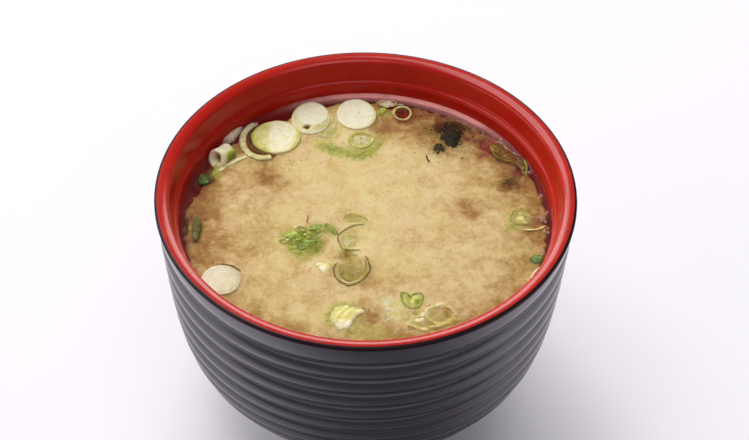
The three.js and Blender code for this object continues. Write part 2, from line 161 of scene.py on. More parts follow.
# ---------------------------------------------------------------------------------- meshes
def grid(rings, first=None, last=None, loop=False, **numbers):
    """Joins rings[ring, place] of points into a patch: each ring to the next, the ends to a pole if one
    is given, or with loop the last ring to the first. numbers hold one value per grid point."""
    rows, places, _ = rings.shape
    index = np.arange(rows * places).reshape(rows, places)
    above = index if loop else index[:-1]
    below = np.roll(index, -1, 0) if loop else index[1:]
    quads = np.stack([above, np.roll(above, -1, 1), np.roll(below, -1, 1), below], -1).reshape(-1, 4)
    points = [rings.reshape(-1, 3)]
    values = {k: [np.broadcast_to(v, (rows, places)).reshape(-1)] for k, v in numbers.items()}
    tris = []
    for pole, row, flip in ((first, 0, True), (last, rows - 1, False)):
        if pole is None:
            continue
        tip = np.full(places, sum(len(p) for p in points))
        sides = [index[row], np.roll(index[row], -1), tip]
        tris.append(np.stack(sides[::-1] if flip else sides, -1))
        points.append(np.asarray(pole, float).reshape(1, 3))
        for k, v in values.items():
            v.append(np.array([v[0].reshape(rows, places)[row].mean()]))
    tris = np.concatenate(tris) if tris else np.zeros((0, 3), int)
    patch = {"points": np.concatenate(points), "quads": quads, "tris": tris}
    patch["numbers"] = {k: np.concatenate(v) for k, v in values.items()}
    return outward(patch)


def outward(patch):
    """Turns a closed patch's faces round if the volume that they enclose is below zero."""
    p, q, t = patch["points"], patch["quads"], patch["tris"]
    tris = np.concatenate([q[:, [0, 1, 2]], q[:, [0, 2, 3]], t])
    middle = p.mean(0)
    a, b, c = (p[tris[:, i]] - middle for i in range(3))
    if np.einsum("ij,ij->i", a, np.cross(b, c)).sum() < 0:
        patch["quads"], patch["tris"] = q[:, ::-1], t[:, ::-1]
    return patch


def piece(name, patches, materials, nodes=(), faces_of=None):
    """Writes patches, in millimetres, as one object at the origin that rides on the bowl's body.
    faces_of(quads, tris) gives each face's material, where there is more than one."""
    offset, points, quads, tris = 0, [], [], []
    for patch in patches:
        points.append(patch["points"])
        quads.append(patch["quads"] + offset)
        tris.append(patch["tris"] + offset)
        offset += len(patch["points"])
    points, quads, tris = (np.concatenate(x) for x in (points, quads, tris))
    mesh = bpy.data.meshes.new(name)
    mesh.from_pydata((points * MM).tolist(), [], quads.tolist() + tris.tolist())
    mesh.shade_smooth()
    for key in patches[0]["numbers"]:
        values = np.concatenate([patch["numbers"][key] for patch in patches])
        mesh.attributes.new(key, "FLOAT", "POINT").data.foreach_set("value", values.astype(np.float32))
    for material in materials:
        mesh.materials.append(material)
    if faces_of is not None:
        mesh.polygons.foreach_set("material_index", faces_of(quads, tris).astype(np.int32))
    mesh.update()
    thing = bpy.data.objects.new(name, mesh)
    bpy.context.scene.collection.objects.link(thing)
    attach(thing, "root")
    if nodes:
        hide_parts(*nodes)


def turned(radii, heights, steps):
    """Rings of a profile turned about Z: (r cos a, r sin a, z)."""
    angle = np.arange(steps) / steps * 2 * math.pi
    radii, heights = np.asarray(radii)[:, None], np.asarray(heights)[:, None]
    return np.stack([radii * np.cos(angle), radii * np.sin(angle), heights + 0 * angle], -1)


def eased(corners, reach):
    """A line through corners, where each inner corner becomes a curve (1-t)^2 a + 2t(1-t) c + t^2 b
    between the points a and b that lie `reach` before and after it."""
    corners = np.asarray(corners, float)
    line = [corners[:1]]
    t = np.linspace(0, 1, 5)[:, None]
    for before, corner, after in zip(corners, corners[1:], corners[2:]):
        a = corner + (before - corner) * min(reach / np.linalg.norm(before - corner), 0.5)
        b = corner + (after - corner) * min(reach / np.linalg.norm(after - corner), 0.5)
        line.append((1 - t) ** 2 * a + 2 * t * (1 - t) * corner + t**2 * b)
    return np.concatenate([*line, corners[-1:]])


# ---------------------------------------------------------------------------------- finishes
class Nodes:
    """A node tree, filled in node by node."""

    def __init__(self, tree):
        self.tree = tree

    def join(self, node, values):
        """Gives a node its values. A value that is a socket is linked, any other is set."""
        for key, value in values.items():
            if isinstance(value, bpy.types.NodeSocket):
                self.tree.links.new(value, node.inputs[key])
            else:
                node.inputs[key].default_value = value

    def add(self, kind, values=None, **settings):
        """A shader node with its settings and values."""
        node = self.tree.nodes.new("ShaderNode" + kind)
        for key, value in settings.items():
            setattr(node, key, value)
        self.join(node, values or {})
        return node

    def level(self, value, low, high, out_low=0.0, out_high=1.0):
        """out_low where value is low, out_high where it is high, and 3t^2 - 2t^3 between them."""
        values = {"Value": value, "From Min": low, "From Max": high}
        values |= {"To Min": out_low, "To Max": out_high}
        return self.add("MapRange", values, interpolation_type="SMOOTHSTEP").outputs["Result"]

    def sum(self, first, second, operation="ADD"):
        """first + second, or first * second with MULTIPLY."""
        return self.add("Math", {0: first, 1: second}, operation=operation).outputs[0]

    def product(self, first, second, more):
        """first * second + more."""
        return self.add("Math", {0: first, 1: second, 2: more}, operation="MULTIPLY_ADD").outputs[0]

    def blend(self, share, first, second):
        """The first shader where share is 0 and the second where it is 1."""
        return self.add("MixShader", {0: share, 1: first.outputs[0], 2: second.outputs[0]})


class Finish(Nodes):
    """One procedural material on Object coordinates in metres."""

    def __init__(self, name):
        self.material = bpy.data.materials.new(name)
        self.material.use_nodes = True
        super().__init__(self.material.node_tree)
        self.tree.nodes.clear()
        self.place = self.add("TexCoord").outputs["Object"]

    def number(self, name):
        """A number that the mesh holds at each point."""
        return self.add("Attribute", attribute_name=name).outputs["Fac"]

    def grain(self, size, detail=2.0, roughness=0.5, distortion=0.0):
        """Noise whose coarsest grains are `size` millimetres across."""
        values = {"Vector": self.place, "Scale": 1 / (size * MM), "Detail": detail}
        values |= {"Roughness": roughness, "Distortion": distortion}
        return self.add("TexNoise", values).outputs["Fac"]

    def mottle(self, reach, *grain):
        """Noise from -reach to reach, whose grains are given as for `grain`."""
        return self.level(self.grain(*grain), 0.3, 0.7, -reach, reach)

    def cells(self, size):
        """Distance to the nearest of scattered points about `size` millimetres apart."""
        values = {"Vector": self.place, "Scale": 1 / (size * MM)}
        return self.add("TexVoronoi", values).outputs["Distance"]

    def ramp(self, value, *stops):
        """A blend through (position, colour) stops."""
        node = self.add("ValToRGB", {"Fac": value})
        elements = node.color_ramp.elements
        while len(elements) < len(stops):
            elements.new(0.5)  # its place is set below
        for element, (position, colour) in zip(elements, stops):
            element.position = position
            element.color = (*colour, 1)
        return node.outputs["Color"]

    def painted(self, value, tones):
        """A blend through (position, screen colour) tones."""
        return self.ramp(value, *((at, srgb(*colour)) for at, colour in tones))

    def mix(self, factor, first, second, blend_type="MIX"):
        """The first colour where factor is 0 and the second, or their product, where it is 1."""
        colours = [c if isinstance(c, bpy.types.NodeSocket) else (*c, 1) for c in (first, second)]
        values = {0: factor, 6: colours[0], 7: colours[1]}
        return self.add("Mix", values, data_type="RGBA", blend_type=blend_type).outputs[2]

    def relief(self, height, depth, under=None):
        """A bump of `depth` millimetres, over the one that is `under` it."""
        values = {"Height": height, "Distance": depth * MM, "Strength": 1.0}
        if under is not None:
            values["Normal"] = under
        return self.add("Bump", values).outputs["Normal"]

    def surface(self, shader):
        """The material, once the shader node is joined to its output."""
        self.add("OutputMaterial", {"Surface": shader.outputs[0]})
        return self.material


def srgb(red, green, blue):
    """The linear colour of a screen colour from 0 to 255."""
    c = np.array([red, green, blue]) / 255
    return tuple(np.where(c <= 0.04045, c / 12.92, ((c + 0.055) / 1.055) ** 2.4).tolist())


# Screen colours along a tone from 0 to 1: of the miso, thick to thin, and of leaf, cream to dark green.
MISO_TONES = [
    (0.0, (251, 240, 200)),
    (0.2, (250, 231, 187)),
    (0.34, (242, 217, 165)),
    (0.5, (218, 184, 129)),
    (0.6, (194, 151, 89)),
    (0.7, (176, 127, 76)),
    (0.8, (164, 102, 74)),
    (0.9, (156, 66, 50)),
    (1.0, (150, 32, 24)),
]
LEAF_TONES = [
    (0.0, (253, 249, 222)),
    (0.1, (246, 238, 194)),
    (0.2, (235, 225, 158)),
    (0.32, (215, 207, 110)),
    (0.45, (182, 190, 80)),
    (0.58, (148, 167, 58)),
    (0.7, (118, 136, 40)),
    (0.82, (108, 104, 26)),
    (0.92, (84, 76, 14)),
    (1.0, (42, 46, 14)),
]


def red_lacquer():
    """Glossy vermilion lacquer: slight clouding, fine orange peel, dust and hairline scuffs."""
    f = Finish("red_lacquer")
    cloud = f.grain(9, 3)
    base = f.painted(cloud, [(0.3, (176, 25, 12)), (0.7, (188, 31, 16))])
    dust = f.level(f.cells(2.4), 0.035, 0.015)
    colour = f.mix(f.sum(dust, 0.35, "MULTIPLY"), base, srgb(222, 130, 118))
    rough = f.level(f.grain(1.6, 4, 0.6), 0.3, 0.75, 0.16, 0.22)
    peel = f.relief(f.grain(0.55, 2), 0.002)
    peel = f.relief(f.grain(6, 2), 0.025, under=peel)
    high = f.add("SeparateXYZ", {0: f.place}).outputs["Z"]
    shine = f.level(high, (HEIGHT - 2.2) * MM, (HEIGHT - 0.8) * MM, 0.22, 0.35)
    shader = f.add(
        "BsdfPrincipled",
        {"Base Color": colour, "Roughness": rough, "Normal": peel, "Specular IOR Level": shine},
    )
    return f.surface(shader)


def black_lacquer():
    """Satin black lacquer, faintly violet, with fine grain and dust, and at the lip's edge a matt dark band
    of painted shade, which takes away the edge's reflection.
    """
    f = Finish("black_lacquer")
    cloud = f.grain(7, 4, 0.6)
    base = f.painted(cloud, [(0.3, (24, 20, 31)), (0.7, (31, 26, 40))])
    dust = f.level(f.cells(3.1), 0.03, 0.014)
    colour = f.mix(f.sum(dust, 0.5, "MULTIPLY"), base, srgb(120, 116, 122))
    rough = f.level(f.grain(1.2, 4, 0.65), 0.3, 0.75, 0.1, 0.15)
    grain = f.relief(f.grain(6, 2), 0.012)
    shader = f.add(
        "BsdfPrincipled",
        {
            "Base Color": colour,
            "Roughness": rough,
            "Normal": grain,
            "IOR": 1.55,
            "Specular IOR Level": 1.0,
            "Specular Tint": (0.95, 0.9, 1.0, 1),
        },
    )
    high = f.add("SeparateXYZ", {0: f.place}).outputs["Z"]
    # Painted shade: towards the rim the lacquer gives way to a matt dark diffuse layer, which darkens the
    # lip's edge.
    dark_lip_edge = f.level(high, (HEIGHT - 1.9) * MM, (HEIGHT - 0.8) * MM, 0, 0.85)
    edge = f.add("BsdfDiffuse", {"Color": (*srgb(44, 20, 23), 1)})
    return f.surface(f.blend(dark_lip_edge, shader, edge))


def miso_cloud_finish():
    """Miso paste in suspension: cream curds that thin out through brown to the red of the bowl, and
    leaf that shows through them."""
    f = Finish("miso_cloud")
    curd = f.mottle(0.075, 4.2, 3, 0.6, 0.6)
    grain = f.mottle(0.05, 1.2, 3, 0.65)
    shade = f.sum(f.number("tone"), f.sum(curd, grain))
    base = f.painted(shade, MISO_TONES)
    lemon = f.level(f.grain(16, 2), 0.42, 0.62)
    base = f.mix(f.sum(lemon, 0.5, "MULTIPLY"), base, srgb(248, 250, 226), "MULTIPLY")
    speck = f.sum(f.level(f.cells(1.9), 0.17, 0.07), f.level(f.grain(5, 2), 0.42, 0.6), "MULTIPLY")
    base = f.mix(f.sum(speck, 0.5, "MULTIPLY"), base, srgb(140, 118, 66))
    mottle = f.mottle(0.14, 1.3, 3, 0.65)
    leaf = f.painted(f.sum(f.number("leaf_tone"), mottle), LEAF_TONES)
    shown = f.sum(f.number("leaf"), f.level(f.grain(1.0, 3, 0.65), 0.3, 0.7, 0.45, 1.3), "MULTIPLY")
    base = f.mix(shown, base, leaf)
    shader = f.add(
        "BsdfPrincipled",
        {
            "Base Color": base,
            "Roughness": 0.65,
            "Normal": f.relief(f.grain(1.1, 2, 0.5), 0.05),
            "Specular IOR Level": 0.2,
            "Subsurface Weight": 0.25,
            "Subsurface Radius": (1.0, 0.7, 0.4),
            "Subsurface Scale": 0.8 * MM,
        },
    )
    return f.surface(shader)


def foam_finish():
    """Foam: thin pinkish white skin over the broth, partly the foam's own colour and partly painted glints,
    with more of it towards the edges of each ball.
    """
    f = Finish("foam")
    facing = f.add("LayerWeight", {"Blend": 0.35}).outputs["Facing"]
    skin = f.add("BsdfPrincipled", {"Base Color": (0.95, 0.72, 0.66, 1), "Roughness": 0.15})
    # Partly painted glints: the skin covers more of each ball towards its edges.
    return f.surface(f.blend(f.level(facing, 0.1, 0.7, 0.25, 0.8), f.add("BsdfTransparent"), skin))


def grain_finish():
    """Grains of miso: cream, or olive brown."""
    f = Finish("miso_grain")
    shades = [(0.0, (255, 246, 206)), (0.5, (190, 162, 100)), (1.0, (146, 120, 66))]
    colour = f.painted(f.number("shade"), shades)
    shader = f.add("BsdfPrincipled", {"Base Color": colour, "Roughness": 0.6, "Specular IOR Level": 0.2})
    return f.surface(shader)


def broth_finish():
    """Clear, slightly golden broth: it lets through what lies in it and mirrors at its surface. Where its
    painted reflection number rises, a pink diffuse layer paints the reflection of the wall's red.
    """
    f = Finish("clear_broth")
    ripple = f.relief(f.grain(7, 2), 0.02)
    clear = f.add("BsdfTransparent", {"Color": (0.992, 0.985, 0.965, 1)})
    gloss = f.add("BsdfGlossy", {"Roughness": 0.04, "Normal": ripple})
    facing = f.add("Fresnel", {"IOR": 1.34, "Normal": ripple})
    # Painted reflection: a pink diffuse layer for the wall's red, mirrored near the back wall.
    painted_red_reflection = f.add("BsdfDiffuse", {"Color": (1.0, 0.42, 0.39, 1)})
    body = f.blend(f.number("haze"), clear, painted_red_reflection)
    return f.surface(f.blend(facing.outputs[0], body, gloss))


# ---------------------------------------------------------------------------------- bowl
def rounded_wall(top_radius, depth, closing_depth):
    """(top radius - taper depth) (1 - (depth / closing depth)^power)^(1/root): straight, then rounded in."""
    rounding = (1 - np.clip(depth / closing_depth, 0, 1) ** BELLY_POWER) ** (1 / BELLY_ROOT)
    return (top_radius - WALL_TAPER * depth) * rounding


def outer_radius(depth):
    """The crests of the ribs: a rounded wall from the rim down."""
    return rounded_wall(RIM_RADIUS, depth, BELLY_DEPTH)


def inner_radius(depth):
    """The inside, with the outside's taper: a rounded wall from the soup's edge down."""
    top_radius = SOUP_RADIUS + WALL_TAPER * SOUP_DEPTH
    return np.minimum(rounded_wall(top_radius, depth, FLOOR_DEPTH), SOUP_RADIUS)


def groove_depths():
    """Each rib takes its width, the length of sqrt(step^2 + change of radius^2) steps along the wall, and
    that is a little less than the one above it."""
    step = 0.05
    depths = [FIRST_GROOVE_DEPTH]
    depth = FIRST_GROOVE_DEPTH
    for rib in range(RIB_COUNT):
        left = RIB_WIDTH - rib * RIB_SHRINK
        while left > 0 and outer_radius(depth + step) > FOOT_RADIUS + FOOT_WIDTH:
            left -= math.hypot(step, outer_radius(depth + step) - outer_radius(depth))
            depth += step
        depths.append(depth)
    return depths


def well_profile(rows):
    """(radius, depth) of the inner wall, from the soup's level down by sin(t) to the floor's centre."""
    share = np.sin(np.linspace(0, 1, rows) * math.pi / 2)
    depth = SOUP_DEPTH + (FLOOR_DEPTH - SOUP_DEPTH) * share
    return np.stack([inner_radius(depth), depth], -1)


def lip_drop(radius):
    """Inside its crest the lip falls by hollow x^2, and outside by edge (1 - (1 - x^power)^(1/power))."""
    across = np.clip((radius - LIP_CREST) / (RIM_RADIUS - LIP_CREST), 0, 1)
    outside = LIP_EDGE * (1 - (1 - across**LIP_POWER) ** (1 / LIP_POWER))
    return LIP_HOLLOW * np.minimum(radius - LIP_CREST, 0) ** 2 + outside


def bowl_profile():
    """(radius, depth) from the floor's centre over the lip and down the ribs to the foot's centre. Between
    two grooves a rib stands out by relief (1 - (2t - 1)^2)."""
    lip_start = LIP_INSIDE + LIP_START
    inside = eased(
        [
            (SOUP_RADIUS, SOUP_DEPTH),
            (SEAT_RADIUS, SHOULDER_DEPTH + SHOULDER_DROP),
            (SHOULDER_RADIUS, SHOULDER_DEPTH),
            (LIP_INSIDE - CORNER_IN, lip_drop(LIP_INSIDE) + CORNER_DOWN),
            (lip_start, lip_drop(lip_start)),
        ],
        SHOULDER_BEND,
    )
    inner = np.linspace(lip_start, LIP_CREST, LIP_STEPS)[1:]
    quarter = np.linspace(0, math.pi / 2, LIP_STEPS)[1:]
    outer = LIP_CREST + (RIM_RADIUS - LIP_CREST) * np.sin(quarter)
    radius = np.concatenate([inner, outer])
    lip = np.stack([radius, lip_drop(radius)], -1)
    grooves = groove_depths()
    share = np.linspace(0.05, 1, BAND_STEPS)[:-1]
    depth = LIP_EDGE + share * (FIRST_GROOVE_DEPTH - LIP_EDGE)
    band = [np.stack([outer_radius(depth) - RIB_RELIEF * share**2.5, depth], -1)]
    for above, below in zip(grooves, grooves[1:]):
        share = np.linspace(0, 1, RIB_STEPS)[:-1]
        depth = above + share * (below - above)
        sink = RIB_RELIEF * (2 * share - 1) ** 2
        band.append(np.stack([outer_radius(depth) - sink, depth], -1))
    last = grooves[-1]
    foot = eased(
        [
            (outer_radius(last) - RIB_RELIEF, last),
            (FOOT_RADIUS, HEIGHT - FOOT_HEIGHT),
            (FOOT_RADIUS - FOOT_DRAFT, HEIGHT),
            (FOOT_RADIUS - FOOT_WIDTH + FOOT_DRAFT, HEIGHT),
            (FOOT_RADIUS - FOOT_WIDTH, HEIGHT - FOOT_RECESS),
            (FOOT_RADIUS / 2, HEIGHT - FOOT_RECESS),
        ],
        FOOT_BEND,
    )
    return np.concatenate([well_profile(WELL_STEPS)[::-1][1:-1], inside, lip, *band, foot])


def make_bowl():
    """The bowl's profile turned about Z: red lacquer up to the rim's edge, and black from there on."""
    profile = bowl_profile()
    rings = turned(profile[:, 0], HEIGHT - profile[:, 1], TURN_STEPS)
    floor, underside = (0, 0, HEIGHT - FLOOR_DEPTH), (0, 0, FOOT_RECESS)
    shell = grid(rings, floor, underside)
    top_row = int(np.argmin(profile[:, 1]))
    first_black = top_row + int(np.argmax(profile[top_row:, 0] > RED_RADIUS))

    def lacquer_of(quads, tris):
        """0, red, for the floor and the rows before the first black one, and 1, black, for the rest."""
        row = np.arange(len(quads)) // TURN_STEPS
        return np.concatenate([row >= first_black, np.arange(len(tris)) >= TURN_STEPS])

    piece("lacquer_bowl", [shell], [red_lacquer(), black_lacquer()], ["bowl"], lacquer_of)


# ---------------------------------------------------------------------------------- garnish shapes
def spun(points, degrees):
    """Flat points turned about the origin: (x cos t - y sin t, x sin t + y cos t)."""
    turn = math.radians(degrees)
    return points @ np.array([[math.cos(turn), math.sin(turn)], [-math.sin(turn), math.cos(turn)]])


def egg_outline(width, length, egg, turn, steps, waver, seed):
    """(w/2 cos a (1 + egg sin a), l/2 sin a), whose radius wavers a little."""
    angle = np.arange(steps) / steps * 2 * math.pi
    along = np.sin(angle)
    points = np.stack([np.cos(angle) * (1 + egg * along) * width / 2, along * length / 2], -1)
    wave = 1 + waver * noise(np.stack([np.cos(angle), along], -1), 0.7, seed, 2)
    return spun(points * wave[:, None], turn)


def sideways(path, closed):
    """Unit normals to the right of the way along a flat path."""
    step = np.roll(path, -1, 0) - np.roll(path, 1, 0) if closed else np.gradient(path, axis=0)
    normal = np.stack([step[:, 1], -step[:, 0]], -1)
    return normal / np.linalg.norm(normal, axis=1, keepdims=True)


def rounded_ends(steps, reach, least):
    """1 along the middle, and at both ends down to `least` as a quarter of an ellipse."""
    share = np.linspace(0, 1, steps)
    inside = np.clip(np.minimum(share, 1 - share) / reach, 0, 1)
    return least + (1 - least) * np.sqrt(1 - (1 - inside) ** 2)


def toned(tones, shape):
    """Fills in the three numbers that every garnish finish reads: green, dark and clear."""
    filled = {"green": 0.0, "dark": 0.0, "clear": 0.0} | tones
    return {k: np.clip(np.broadcast_to(v, shape), 0, 1) for k, v in filled.items()}


def slab(outline, thick, rounding, tones, relief, rows, at=(0, 0, 0)):
    """A solid over a flat outline round 0. Each grid row is the outline drawn in to a share of itself:
    under the bottom, out round the rim as (1 - r + r cos(t)^0.6, 1/2 + sin(t)^0.6 / 2), and in over the
    top, which relief(x, y, share) lifts. tones(x, y, share, level) gives the numbers of its finish."""
    r = min(rounding / np.hypot(*outline.T).mean(), 0.5)
    t = np.linspace(-math.pi / 2, math.pi / 2, 9)
    over = np.linspace(1 - r, 0, rows + 1)[1:-1]
    share = np.concatenate([[0.45 * (1 - r), 0.8 * (1 - r)], 1 - r + r * power(np.cos(t), 0.6), over])
    level = np.concatenate([[0, 0], 0.5 + 0.5 * power(np.sin(t), 0.6), np.ones(rows - 1)])
    x, y = share[:, None] * outline[:, 0], share[:, None] * outline[:, 1]
    share, level = share[:, None] + 0 * x, level[:, None] + 0 * x
    z = thick * level + (relief(x, y, share) * smooth(0.5, 1, level) if relief else 0)
    rings = np.stack([x, y, z], -1) + np.array(at)
    numbers = toned(tones(x, y, share, level), x.shape)
    return grid(rings, rings[0].mean(0), rings[-1].mean(0), **numbers)


def band(path, wall, thick, tones, closed, sides=22, square=0.55, lift=0.0):
    """A ribbon along a path: across it stands the section (w/2 cos(t)^square, h/2 sin(t)^square).
    tones(x, y, across, along, up) gives the numbers of its finish."""
    steps = len(path)
    t = np.arange(sides) / sides * 2 * math.pi
    across, up = power(np.cos(t), square), power(np.sin(t), square)
    wall, thick, lift = (np.broadcast_to(v, steps)[:, None] for v in (wall, thick, lift))
    flat = path[:, None] + sideways(path, closed)[:, None] * (wall / 2 * across)[..., None]
    z = lift + thick / 2 * up
    x, y = flat[..., 0], flat[..., 1]
    along = np.linspace(0, 1, steps)[:, None] + 0 * x
    numbers = toned(tones(x, y, 0.5 + 0.5 * across + 0 * x, along, up + 0 * x), x.shape)
    rings = np.stack([x, y, z], -1)
    if closed:
        return grid(rings, loop=True, **numbers)
    return grid(rings, rings[0].mean(0), rings[-1].mean(0), **numbers)


def tube(start, end, radius, wall, cut, tones):
    """A hollow round length: the section (L/2 (1 + cos(t)^0.2), R - w/2 + w/2 sin(t)^0.5) turned about
    its axis, with its first end cut aslant. tones(along, across, turn) gives the numbers of its finish."""
    places, sides = 72, 44
    start, end = np.array(start, float), np.array(end, float)
    length = np.linalg.norm(end - start)
    axis = (end - start) / length
    side = np.cross(axis, [0, 0, 1])
    up = np.cross(side, axis)
    t = np.arange(sides) / sides * 2 * math.pi
    along = length / 2 * (1 + power(np.cos(t), 0.2))
    across = 0.5 + 0.5 * power(np.sin(t), 0.5)
    turn = (np.arange(places) / places * 2 * math.pi)[:, None]
    flare = 1 + 0.16 * smooth(0.45, 0, along / length)
    bent = 1 + 0.09 * np.cos(2 * turn + 0.6) + 0.04 * np.cos(5 * turn + 0.8 * along)
    reach = (radius - wall + wall * across) * flare * bent
    spoke = np.cos(turn)[..., None] * side + np.sin(turn)[..., None] * up
    aslant = along + cut * (0.5 + 0.5 * np.sin(turn)) * (1 - along / length)
    rings = start + aslant[..., None] * axis + spoke * reach[..., None]
    numbers = toned(tones(along / length, across, turn), reach.shape)
    return grid(rings, loop=True, **numbers)


# The soup climbs what stands out of it by at least the least, to a share of how far it stands out.
LEAST_STAND = 0.08
HIGHEST_STAND = 0.7
CLIMB_SHARE = 0.4
WET_BAND = 0.5
# What stands out of the soup, as points round it and the height to which the soup climbs them.
waterlines = []


def garnish(name, patches, finish, node=None, fit=True, sink=0.0, grow=0.0):
    """Writes patches as a piece and notes where it stands in the soup. With fit they are first drawn
    to a CAD node's box, which may grow sideways, and lowered by `sink`."""
    if fit and node:
        low, high = (np.array(corner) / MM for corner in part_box(node))
        low, high = low - (grow, grow, 0), high + (grow, grow, 0)
        points = np.concatenate([patch["points"] for patch in patches])
        least, most = points.min(0), points.max(0)
        for patch in patches:
            share = (patch["points"] - least) / (most - least)
            patch["points"] = low + share * (high - low) - (0, 0, sink)
    for patch in patches:
        points = patch["points"]
        top = points[:, 2].max() - SOUP_LEVEL
        if top > LEAST_STAND:
            line = points[points[:, 2] > SOUP_LEVEL - WET_BAND][:, :2]
            waterlines.append((line, CLIMB_SHARE * min(top, HIGHEST_STAND)))
    piece(name, patches, [finish], [node] if node else ())


# ---------------------------------------------------------------------------------- garnish finishes
def scallion_finish(name, wetness, cast=0.0, cast_colour=None):
    """Wet scallion, cream to dark green: fine cells and fibres, and brown where its `dark` number rises,
    which holds real stains and also painted shade; where `clear` rises the flesh thins out raggedly and the
    broth shows. `cast` of `cast_colour` lies over it all."""
    f = Finish(name)
    cells = f.cells(0.3)
    mottle = f.mottle(0.07, 1.5, 3, 0.6)
    tone = f.sum(f.sum(f.number("green"), mottle), f.level(cells, 0.1, 0.6, -0.02, 0.03))
    colour = f.painted(tone, LEAF_TONES)
    # Brown by the dark number: stains, and painted shade where a piece puts it there.
    stain_and_shade = f.sum(f.number("dark"), f.mottle(0.13, 0.8, 3, 0.65))
    colour = f.mix(f.level(stain_and_shade, 0.15, 0.9), colour, srgb(120, 68, 14))
    if cast:
        colour = f.mix(cast, colour, srgb(*cast_colour))
    wet = f.relief(f.grain(0.9, 3, 0.6), 0.05)
    wet = f.relief(cells, 0.012, under=wet)
    body = f.add(
        "BsdfPrincipled",
        {
            "Base Color": colour,
            "Roughness": f.level(f.grain(0.7, 2), 0.35, 0.65, wetness, wetness + 0.25),
            "Normal": wet,
            "Specular IOR Level": 0.15,
            "Coat Weight": 0.04,
            "Coat Roughness": 0.12,
        },
    )
    gone = f.sum(f.number("clear"), f.mottle(0.13, 0.9, 3, 0.65))
    return f.surface(f.blend(f.level(gone, 0.06, 0.94), body, f.add("BsdfTransparent")))


def wakame_finish():
    """Wakame, nearly black green and wet, ragged where the miso lies over it."""
    f = Finish("wakame")
    colour = f.painted(f.grain(1.2, 3, 0.6), [(0.3, (30, 26, 16)), (0.7, (56, 46, 28))])
    vein = f.relief(f.grain(0.8, 3, 0.6), 0.12)
    looks = {"Base Color": colour, "Roughness": 0.6, "Normal": vein, "Specular IOR Level": 0.12}
    body = f.add("BsdfPrincipled", looks)
    gone = f.sum(f.number("clear"), f.mottle(0.35, 0.8, 4, 0.7))
    return f.surface(f.blend(f.level(gone, 0.2, 0.75), body, f.add("BsdfTransparent")))


# ---------------------------------------------------------------------------------- garnish pieces
def layered(x, y, share):
    """Grooves exp(-((share - s) / w)^2) between the layers of a cut scallion, and slight unevenness."""
    grooves = [(0.08, 0.55, 0.02), (0.1, 0.74, 0.018), (0.12, 0.9, 0.016)]
    groove = sum(deep * bell(share - at, width) for deep, at, width in grooves)
    return -groove - 0.12 * smooth(0.8, 1, share) + 0.08 * noise(np.stack([x, y], -1), 2.2, 31, 3)


